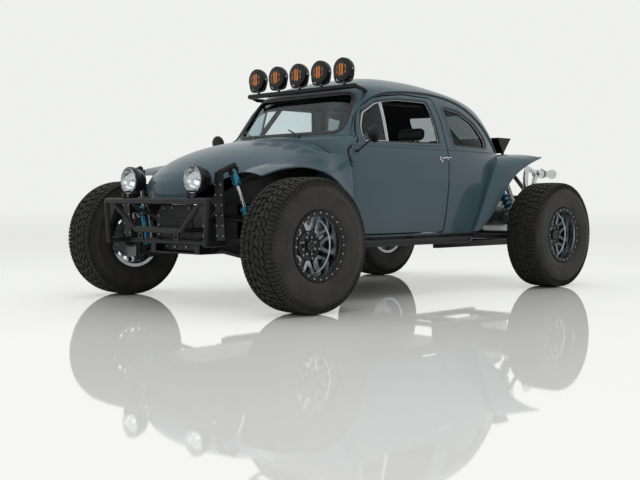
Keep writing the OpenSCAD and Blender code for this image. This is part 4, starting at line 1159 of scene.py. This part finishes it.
def front_shocks():
    """Bypass dampers: teal body below, bright shaft above, a teal cap at the tower and two bypass tubes."""
    build = Build()
    for side in (1, -1):
        p, q = (at(d, y * side, z) for d, y, z in (SHOCK_FOOT, SHOCK_TOP))
        axis, length = unit(q - p), np.linalg.norm(q - p) / MM
        u, v = axes_for(axis)
        eye(build, p, 2)
        eye(build, q, 2, 18)
        body = [(0, 14), (14, 14), (24, 22), (28, 30), (28, 268), (30, 270), (30, 292), (26, 296), (12, 298)]
        build.add(lathe(body, p, axis, 48), 0)
        for h in (60, 150, 240):
            build.add(lathe([(28, h - 8), (29.5, h - 7), (29.5, h + 7), (28, h + 8)], p, axis, 48), 2)
        build.add(lathe([(11, 290), (11, length - 60)], p, axis, 32), 1)
        cap = [(11, -84), (22, -82), (27, -74), (27, -34), (21, -26), (21, 16), (0, 20)]
        build.add(lathe([(r, length + h) for r, h in cap], p, axis, 40), 0)
        for turn, low, high in ((0.5, 70, 230), (1.5, 100, 255)):
            away = math.cos(turn) * u + math.sin(turn) * v
            bends = ((low, 24), (low + 6, 36), (high - 6, 36), (high, 24))
            line = [p + axis * h * MM + away * r * MM for h, r in bends]
            build.add(tube(curve(line, 24), 0.0075, 10), 3)
    looks = [TEAL, CHROME, SATIN, STEEL]
    return build.piece("front_shock_bodies", "chassis", looks, "shock", ["front_shocks"])


def rear_shocks():
    """Coil-over dampers: a spring on two seats about a body and a shaft."""
    build = Build()
    for side in (1, -1):
        p, q = (at(d, y * side, z) for d, y, z in (REAR_FOOT, REAR_TOP))
        axis, length = unit(q - p), np.linalg.norm(q - p) / MM
        u, v = axes_for(axis)
        eye(build, p, 2)
        eye(build, q, 2, 20)
        build.add(lathe([(0, 14), (12, 14), (12, length * 0.5)], p, axis, 28), 1)
        body = [
            (12, length * 0.42), (27, length * 0.43), (27, length - 46), (18, length - 34), (12, length - 20),
        ]
        build.add(lathe(body, p, axis, 40), 0)
        low, high, turns = 52, length - 66, 8
        for h in (low - 9, high + 9):
            build.add(lathe([(14, h - 5), (46, h - 5), (47, h), (46, h + 5), (14, h + 5)], p, axis, 40), 3)
        t = np.linspace(0, 1, turns * 22 + 1)
        angle = 2 * math.pi * turns * t
        helix = p + np.outer((low + (high - low) * t) * MM, axis)
        helix = helix + 0.040 * (np.outer(np.cos(angle), u) + np.outer(np.sin(angle), v))
        build.add(tube(helix, 0.0062, 9), 2)
    return build.piece("rear_coil_overs", "chassis", [TEAL, CHROME, SATIN, STEEL], "shock", ["rear_shocks"])


HEAD_D = (2960, 3150)
HEAD_Y, HEAD_Z = 395, 540
PORT_Z = 500
PIPE_R = 22
TIP_D, TIP_Y, TIP_Z = 3610, 354, 905
CLAMP_D = 3440
# Each carburettor stands over a row of cylinders, with its air cleaner on top
CARBURETTOR = (3060, 230)
CARBURETTOR_Z, CARBURETTOR_TALL = 850, 70
# Header pipes on the left side, from the cylinder heads to the collector
HEADERS = [
    [
        (HEAD_D[0], HEAD_Y + 2, PORT_Z), (HEAD_D[0], 430, PORT_Z), (2966, 456, 520), (3010, 470, 640),
        (3052, 446, 840), (3090, 428, 920), (3140, 408, 946), (3230, 385, 930), (3330, 370, TIP_Z),
    ],
    [
        (HEAD_D[1], HEAD_Y + 2, PORT_Z), (HEAD_D[1], 430, PORT_Z), (3153, 454, 520), (3170, 465, 640),
        (3186, 446, 780), (3214, 424, 830), (3260, 400, 856), (3330, 370, TIP_Z - 10),
    ],
]


def exhaust():
    build = Build()
    for route in HEADERS:
        path = curve([at(*p) for p in route], 90)
        build.add_both(tube(path, PIPE_R * MM, 18), 0)
        start = at(route[0][0], HEAD_Y, PORT_Z)
        flange = [(-44, -24), (44, -24), (44, 24), (-44, 24)]
        build.add_both(slab(rounded(flange, 20), start, UP, AHEAD, 0, 9, 2), 1)
        for h in (-34, 34):
            build.add_both(hexagon(start + UP * h * MM + LEFT * 0.009, LEFT, 13, 8), 1)
    # The collector and its tail: place, distance to the left, height and radius
    tail = [
        (3315, 374, TIP_Z - 4, 34), (3350, 367, TIP_Z - 2, 38), (3430, TIP_Y + 1, TIP_Z, 36),
        (3470, TIP_Y, TIP_Z, 29), (3540, TIP_Y, TIP_Z, 31), (TIP_D, TIP_Y, TIP_Z, 44),
    ]
    count = 60
    path = curve([at(*row[:3]) for row in tail], count)
    share = np.linspace(0, 1, len(tail))
    width = np.interp(np.linspace(0, 1, count), share, [row[3] for row in tail]) * MM
    build.add_both(tube(path[:-1], width[:-1], 28), 0)
    build.add_both(tube(path[-14:] - AHEAD * 0.0008, width[-14:] * 0.94, 28), 2)
    clamp = at(CLAMP_D, TIP_Y + 1, TIP_Z)
    build.add_both(lathe([(33, -9), (38, -8), (38, 8), (33, 9)], clamp, AHEAD, 40), 2)
    build.add_both(hexagon(clamp + UP * 0.038, UP, 11, 10), 1)
    return build.piece("exhaust_headers", "chassis", [CHROME, STEEL, SATIN], "chrome", ["exhaust"])


def air_cleaners():
    build = Build()
    base = at(*CARBURETTOR, CARBURETTOR_Z + CARBURETTOR_TALL)
    rings = [(20, 0), (88, 0), (92, 3), (92, 15), (88, 19), (80, 19)]
    build.add_both(lathe(rings, base, UP, 64), 0)
    folds = 72
    pleat = [polar(83 + 3 * (k % 2), 360 / folds * k) for k in range(folds)]
    build.add_both(slab(pleat, base, AHEAD, LEFT, 17, 82), 0)
    for h in (30, 45, 60):
        build.add_both(lathe([(86, h - 3), (89, h - 2), (89, h + 2), (86, h + 3)], base, UP, 64), 0)
    lid = [(84, 80), (92, 80), (92, 91), (88, 95), (60, 96), (56, 94), (22, 94), (18, 96), (0, 96)]
    build.add_both(lathe(lid, base, UP, 64), 0)
    build.add_both(hexagon(base + UP * 0.094, UP, 17, 2), 1)
    return build.piece("air_filters", "chassis", [CHROME, STEEL], "chrome", ["air_cleaner"])


PULLEY_D, CRANK_Z, ALTERNATOR_Z = 3290, 480, 730


def belt_path(r_low, r_high):
    """A loop round the crank pulley and the alternator's."""
    loop = []
    for r, z_mid, first in ((r_low, CRANK_Z, 180), (r_high, ALTERNATOR_Z, 0)):
        for y, z in (polar(r, turn) for turn in range(first, first + 181, 12)):
            loop.append(at(PULLEY_D, y, z_mid + z))
    return np.array(loop)


def engine():
    """A flat four: split case, finned barrels and heads, pulley, alternator and two carburettors."""
    build = Build()
    build.add(block(at(3268, -128, 347), at(2842, 128, 698), 14), 0)
    build.add(block(at(3276, -7, 352), at(2846, 7, 704), 3), 0)
    for z in (400, 580, 640):
        build.add(block(at(3274, -120, z - 6), at(3262, 120, z + 6), 3), 0)
    for d in range(2880, 3261, 54):
        build.add_both(hexagon(at(d, 7, 690), LEFT, 13, 8, d), 0)
    barrel = [(0, 126), (62, 126)]
    for h in range(132, 322, 9):
        barrel += [(62, h), (81, h + 0.5), (81, h + 3.5), (62, h + 4)]
    for d in HEAD_D:
        build.add_both(lathe(barrel + [(62, 328), (0, 328)], at(d, 0, HEAD_Z), LEFT, 48), 0)
        build.add_both(block(at(d + 70, 327, 478), at(d - 70, 393, 602), 6), 0)
        for z in range(473, 606, 12):
            build.add_both(block(at(d + 79, 328, z), at(d - 79, 387, z + 5), 1.5), 0)
        build.add_both(block(at(d + 62, 386, 552), at(d - 62, 395, 604), 4), 1)
    crank = [
        (30, 0), (30, 14), (80, 14), (85, 17), (85, 21), (74, 30), (85, 39), (85, 43), (80, 46), (42, 46),
        (38, 41), (18, 41), (18, 57), (0, 59),
    ]
    build.add(lathe(crank, at(3260, 0, CRANK_Z), -AHEAD, 64), 2)
    body = [
        (0, 0), (50, 0), (59, 8), (59, 100), (55, 104), (55, 120), (59, 124), (59, 230), (53, 238), (53, 300),
        (57, 304), (57, 322), (50, 330), (14, 330),
    ]
    small = [(14, 330), (14, 376), (44, 378), (47, 382), (39, 390), (47, 398), (44, 402), (12, 402), (0, 404)]
    build.add(lathe(body, at(2900, 0, ALTERNATOR_Z), -AHEAD, 56), 1)
    build.add(lathe(small, at(2900, 0, ALTERNATOR_Z), -AHEAD, 48), 2)
    build.add(tube(belt_path(78, 42), 0.006, 8, True), 3)
    # Pipes from the case and the heads to each carburettor: distance to the left and height
    carb_d, carb_y = CARBURETTOR
    for radius, route in (
        (0.025, [(40, 728), (120, 785), (200, 838), (232, 862)]),
        (0.023, [(230, 852), (262, 780), (300, 690), (330, 602)]),
    ):
        build.add_both(tube(curve([at(carb_d, y, z) for y, z in route], 30), radius, 18), 0)
    carburettor = [
        (0, 0), (48, 0), (52, 3), (52, 12), (43, 16), (43, 34), (50, 38), (52, 42),
        (52, CARBURETTOR_TALL - 4), (48, CARBURETTOR_TALL), (0, CARBURETTOR_TALL),
    ]
    build.add_both(lathe(carburettor, at(carb_d, carb_y, CARBURETTOR_Z), UP, 40), 0)
    for turn in range(45, 360, 90):
        x, y = polar(46, turn)
        build.add_both(hexagon(at(carb_d + x, carb_y + y, CARBURETTOR_Z + 12), UP, 9, 6, turn), 2)
    return build.piece("flat_four", "chassis", [STEEL, SATIN, CHROME, SEAL], "cast_alloy", ["engine"])


# Height at which the drive shafts leave the gearbox
SHAFT_Z = AXLE_Z + 60


def gearbox():
    """A ribbed case with round covers where the drive shafts leave it."""
    build = Build()
    build.add(block(at(2838, -107, 348), at(2482, 107, 577), 18), 0)
    for d in range(2500, 2830, 41):
        build.add(block(at(d + 5, -110, 356), at(d - 5, 110, 580), 3), 0)
    half = [(110, 0), (110, 138), (100, 150), (66, 158), (60, 169), (24, 169), (0, 169)]
    build.add_both(lathe(half, at(REAR_D, 0, SHAFT_Z), LEFT, 56), 0)
    for turn in range(0, 360, 45):
        x, z = polar(82, turn)
        build.add_both(hexagon(at(REAR_D + x, 153, SHAFT_Z + z), LEFT, 13, 8, turn), 0)
    return build.piece("gearbox_case", "chassis", [STEEL], "cast_alloy", ["transaxle"])


TOWER_FOOT, TOWER_TOP = (-258, 490, 430), (-285, 490, 846)
NOSE_D = -204
APRON_Y = 228


def nose_plates():
    """Black plates that close the nose under the hood and stiffen the shock towers, with their bolts."""
    build = Build()
    half = [(200, 352), (200, 434), (262, 434), (262, 585), (214, 646)]
    front = half + [(-y, z) for y, z in half[::-1]]
    build.add(slab(front, at(NOSE_D, 0, 0), LEFT, UP, 0, 4, 1), 0)
    hatch = rounded([(-120, 452), (120, 452), (120, 560), (-120, 560)], 24)
    build.add(slab(hatch, at(NOSE_D - 4, 0, 0), LEFT, UP, 0, 6, 2), 0)
    bolts = ((236, 452), (236, 515), (236, 575), (150, 375), (60, 375), (90, 626), (180, 626))
    for y, z in [(s * y, z) for s in (-1, 1) for y, z in bolts]:
        build.add(hexagon(at(NOSE_D - 4, y, z), AHEAD, 16, 7, z), 1)
    for first, last in ((-196, 70), (192, 560)):
        corners = [(first, 432), (last, 432), (last, 648), (first, 648)]
        apron = [(AXLE_X - d, z) for d, z in corners]
        build.add_both(slab(apron, at(AXLE_X, APRON_Y, 0), AHEAD, UP, -2, 2, 0.5), 0)
    foot, top = at(*TOWER_FOOT), at(*TOWER_TOP)
    rise, tall = unit(top - foot), np.linalg.norm(top - foot) / MM
    plate = [(-40, 0), (40, 0), (36, tall - 60), (24, tall), (-24, tall), (-36, tall - 60)]
    build.add_both(slab(plate, foot + AHEAD * 0.017, LEFT, rise, 0, 5, 1.2), 0)
    for h in np.arange(30, tall - 40, 62):
        for y in (-28, 28):
            build.add_both(hexagon(foot + (rise * h + LEFT * y + AHEAD * 22) * MM, AHEAD, 12, 6, h), 1)
    return build.piece("nose_plates", "chassis", [BLACK, STEEL], "black_coat")


front_shocks()
rear_shocks()
exhaust()
air_cleaners()
engine()
gearbox()
nose_plates()

# Seats: pads that a cloth simulation swells, then sewn channels
SEAT_MID = 325
CUSHION_D = 1374
BACK_FOOT = (1594, 556)
SEAT_TILT = 10.2
VOXEL = 0.006
SWELL_CAP = 0.022


def eased(shape, rounds=12):
    """A closed block as an even mesh with soft corners."""
    mesh = bpy.data.meshes.new("pad")
    mesh.from_pydata(shape[0].tolist(), [], shape[1])
    pad = bpy.data.objects.new("pad", mesh)
    bpy.context.scene.collection.objects.link(pad)
    remesh = pad.modifiers.new("even", "REMESH")
    remesh.mode, remesh.voxel_size = "VOXEL", VOXEL
    seen = bpy.context.evaluated_depsgraph_get()
    even_mesh = bpy.data.meshes.new_from_object(pad.evaluated_get(seen))
    pad.modifiers.clear()
    pad.data = even_mesh
    verts = np.array([v.co for v in even_mesh.vertices])
    edges = np.array([e.vertices for e in even_mesh.edges])
    count = np.bincount(edges.ravel(), minlength=len(verts))[:, None]
    for _ in range(rounds):
        total = np.zeros_like(verts)
        np.add.at(total, edges[:, 0], verts[edges[:, 1]])
        np.add.at(total, edges[:, 1], verts[edges[:, 0]])
        verts = verts * 0.4 + 0.6 * total / count
    even_mesh.vertices.foreach_set("co", verts.ravel())
    return pad


def swollen(shape):
    """The block as a stuffed pad: cloth under pressure, with a cap on how far it swells."""
    pad = eased(shape)
    start = np.array([v.co for v in pad.data.vertices])
    cloth = pad.modifiers.new("cloth", "CLOTH").settings
    cloth.use_pressure = True
    cloth.uniform_pressure_force = 4
    cloth.effector_weights.gravity = 0
    for number in range(1, 21):
        bpy.context.scene.frame_set(number)
    shown = pad.evaluated_get(bpy.context.evaluated_depsgraph_get())
    move = np.array([v.co for v in shown.data.vertices]) - start
    far = np.linalg.norm(move, axis=1)[:, None]
    start = start + move * np.minimum(1, SWELL_CAP / np.maximum(far, 1e-9))
    bpy.context.scene.frame_set(1)
    faces = [list(p.vertices) for p in pad.data.polygons]
    bpy.data.objects.remove(pad)
    return start, faces


def sewn(shape, side, across, lines, half, depth=7, width=6):
    """Channels where the cover is sewn down, on the face that looks along side, across the given places."""
    verts, faces = shape
    n = normals(shape)
    place = verts @ across / MM
    sink = np.zeros(len(verts))
    for line in lines:
        sink = np.maximum(sink, depth * np.exp(-(((place - line) / width) ** 2)))
    middle_part = np.clip((half - np.abs(verts[:, 1] / MM)) / 12, 0, 1)
    return verts - n * (sink * middle_part * np.clip(n @ side * 2 - 0.6, 0, 1) * MM)[:, None], faces


def bolsters(shape, side, half, depth=11, width=9):
    """The two long seams between the middle panel and the side bolsters."""
    verts, faces = shape
    n = normals(shape)
    away = (np.abs(verts[:, 1]) / MM - half) / width
    sink = depth * np.exp(-(away**2)) * np.clip(n @ side * 2 - 0.6, 0, 1)
    return verts - n * (sink * MM)[:, None], faces


def seats():
    """A cushion, a backrest and a headrest, made about the seat's middle and placed left and right."""
    lean = Matrix.Rotation(-math.radians(SEAT_TILT), 4, "Y")
    cushion = swollen(block([-0.172, -0.196, 0.490], [0.172, 0.196, 0.576], 30))
    cushion = bolsters(sewn(cushion, UP, AHEAD, range(-120, 130, 48), 118), UP, 128)
    back = swollen(block([-0.036, -0.192, 0.0], [0.036, 0.192, 0.545], 26))
    back = bolsters(sewn(back, AHEAD, UP, range(70, 520, 52), 112), AHEAD, 122)
    head = swollen(block([-0.032, -0.118, 0.575], [0.032, 0.118, 0.668], 24))
    pads, frames = Build(), Build()
    for side in (1, -1):
        low = Matrix.Translation(at(CUSHION_D, SEAT_MID * side, 0))
        high = Matrix.Translation(at(BACK_FOOT[0], SEAT_MID * side, BACK_FOOT[1])) @ lean
        pads.add(moved(cushion, low))
        pads.add(moved(back, high))
        pads.add(moved(head, high))
        pan = rounded([(1232, 434), (1212, 484), (1560, 484), (1628, 560), (1612, 434)], 24)
        outline = [(AXLE_X - d, z) for d, z in pan]
        frames.add(slab(outline, (0, SEAT_MID * side * MM, 0), AHEAD, UP, -186, 186, 3), 0)
        for y in (-0.05, 0.05):
            post = np.array([[0, y, 0.53], [0, y, 0.60]])
            frames.add(tube(moved((post, []), high)[0], 0.006, 12), 1)
    piece = pads.piece("seat_pads", "chassis", [VINYL], "seat_cloth", ["seats"], 180)
    frames.piece("seat_frames", "chassis", [SATIN, CHROME], "black_plastic")


seats()

# Camera, as the photograph was taken: a frame of 640 by 480 pixels
PHOTO_W = 640
FOCAL_PX = 1005.3
CENTRE_OFF_PX = (3.85, 6.81)
CAMERA = (-4148, 5217, 675)
CAMERA_DOWN, CAMERA_TURN = 1.875, 134.86
cam_data = bpy.data.cameras.new("camera")
cam_data.sensor_width = 36
cam_data.lens = FOCAL_PX / PHOTO_W * cam_data.sensor_width
cam_data.shift_x = -CENTRE_OFF_PX[0] / PHOTO_W
cam_data.shift_y = -CENTRE_OFF_PX[1] / PHOTO_W
camera = bpy.data.objects.new("camera", cam_data)
camera.location = at(*CAMERA)
camera.rotation_euler = (math.radians(90 - CAMERA_DOWN), 0, math.radians(CAMERA_TURN))
bpy.context.scene.collection.objects.link(camera)
bpy.context.scene.camera = camera
bpy.context.scene.view_settings.view_transform = "Standard"


# Stage: a pale glossy floor under a soft overhead light and two side lights
def stage_floor():
    size = 40
    mesh = bpy.data.meshes.new("floor")
    corners = [(-size, -size, 0), (size, -size, 0), (size, size, 0), (-size, size, 0)]
    mesh.from_pydata(corners, [], [(0, 1, 2, 3)])
    floor = bpy.data.objects.new("floor", mesh)
    bpy.context.scene.collection.objects.link(floor)
    looks = surface(
        "floor", (0.93, 0.93, 0.92), (0.92, 0.92, 0.91), 0.03, scale=0.6, grain=3, bump=0, spread=0.01,
        IOR=2.8,
    )
    mesh.materials.append(looks)
    floor.location.z = -0.5 * MM


def area_light(name, place, aim, size, power):
    data = bpy.data.lights.new(name, "AREA")
    data.shape, data.size, data.size_y, data.energy = "RECTANGLE", size[0], size[1], power
    light = bpy.data.objects.new(name, data)
    light.location = place
    light.rotation_euler = (Vector(aim) - Vector(place)).to_track_quat("-Z", "Y").to_euler()
    light.visible_glossy = False
    bpy.context.scene.collection.objects.link(light)


stage_floor()
area_light("overhead", (0, 0, 7), (0, 0, 0), (13, 10), 420)
area_light("left_side", (3.5, 8, 3.2), (0, 0, 0.8), (8, 4), 110)
area_light("nose_side", (9, -1.5, 3.2), (0, 0, 0.8), (6, 4), 110)
world = bpy.data.worlds.new("studio")
world.use_nodes = True
bpy.context.scene.world = world


def backdrop(lit, seen):
    """A pale backdrop that lights the stage less than it shows."""
    tree = world.node_tree
    sky = tree.nodes["Background"]
    sky.inputs["Color"].default_value = (0.92, 0.93, 0.91, 1)
    path = tree.nodes.new("ShaderNodeLightPath")
    total = path.outputs["Is Camera Ray"]
    for kind in ("Is Glossy Ray", "Is Transmission Ray"):
        larger = tree.nodes.new("ShaderNodeMath")
        larger.operation = "MAXIMUM"
        tree.links.new(total, larger.inputs[0])
        tree.links.new(path.outputs[kind], larger.inputs[1])
        total = larger.outputs[0]
    strength = tree.nodes.new("ShaderNodeMapRange")
    strength.inputs["To Min"].default_value = lit
    strength.inputs["To Max"].default_value = seen
    tree.links.new(total, strength.inputs["Value"])
    tree.links.new(strength.outputs["Result"], sky.inputs["Strength"])


backdrop(0.55, 0.94)
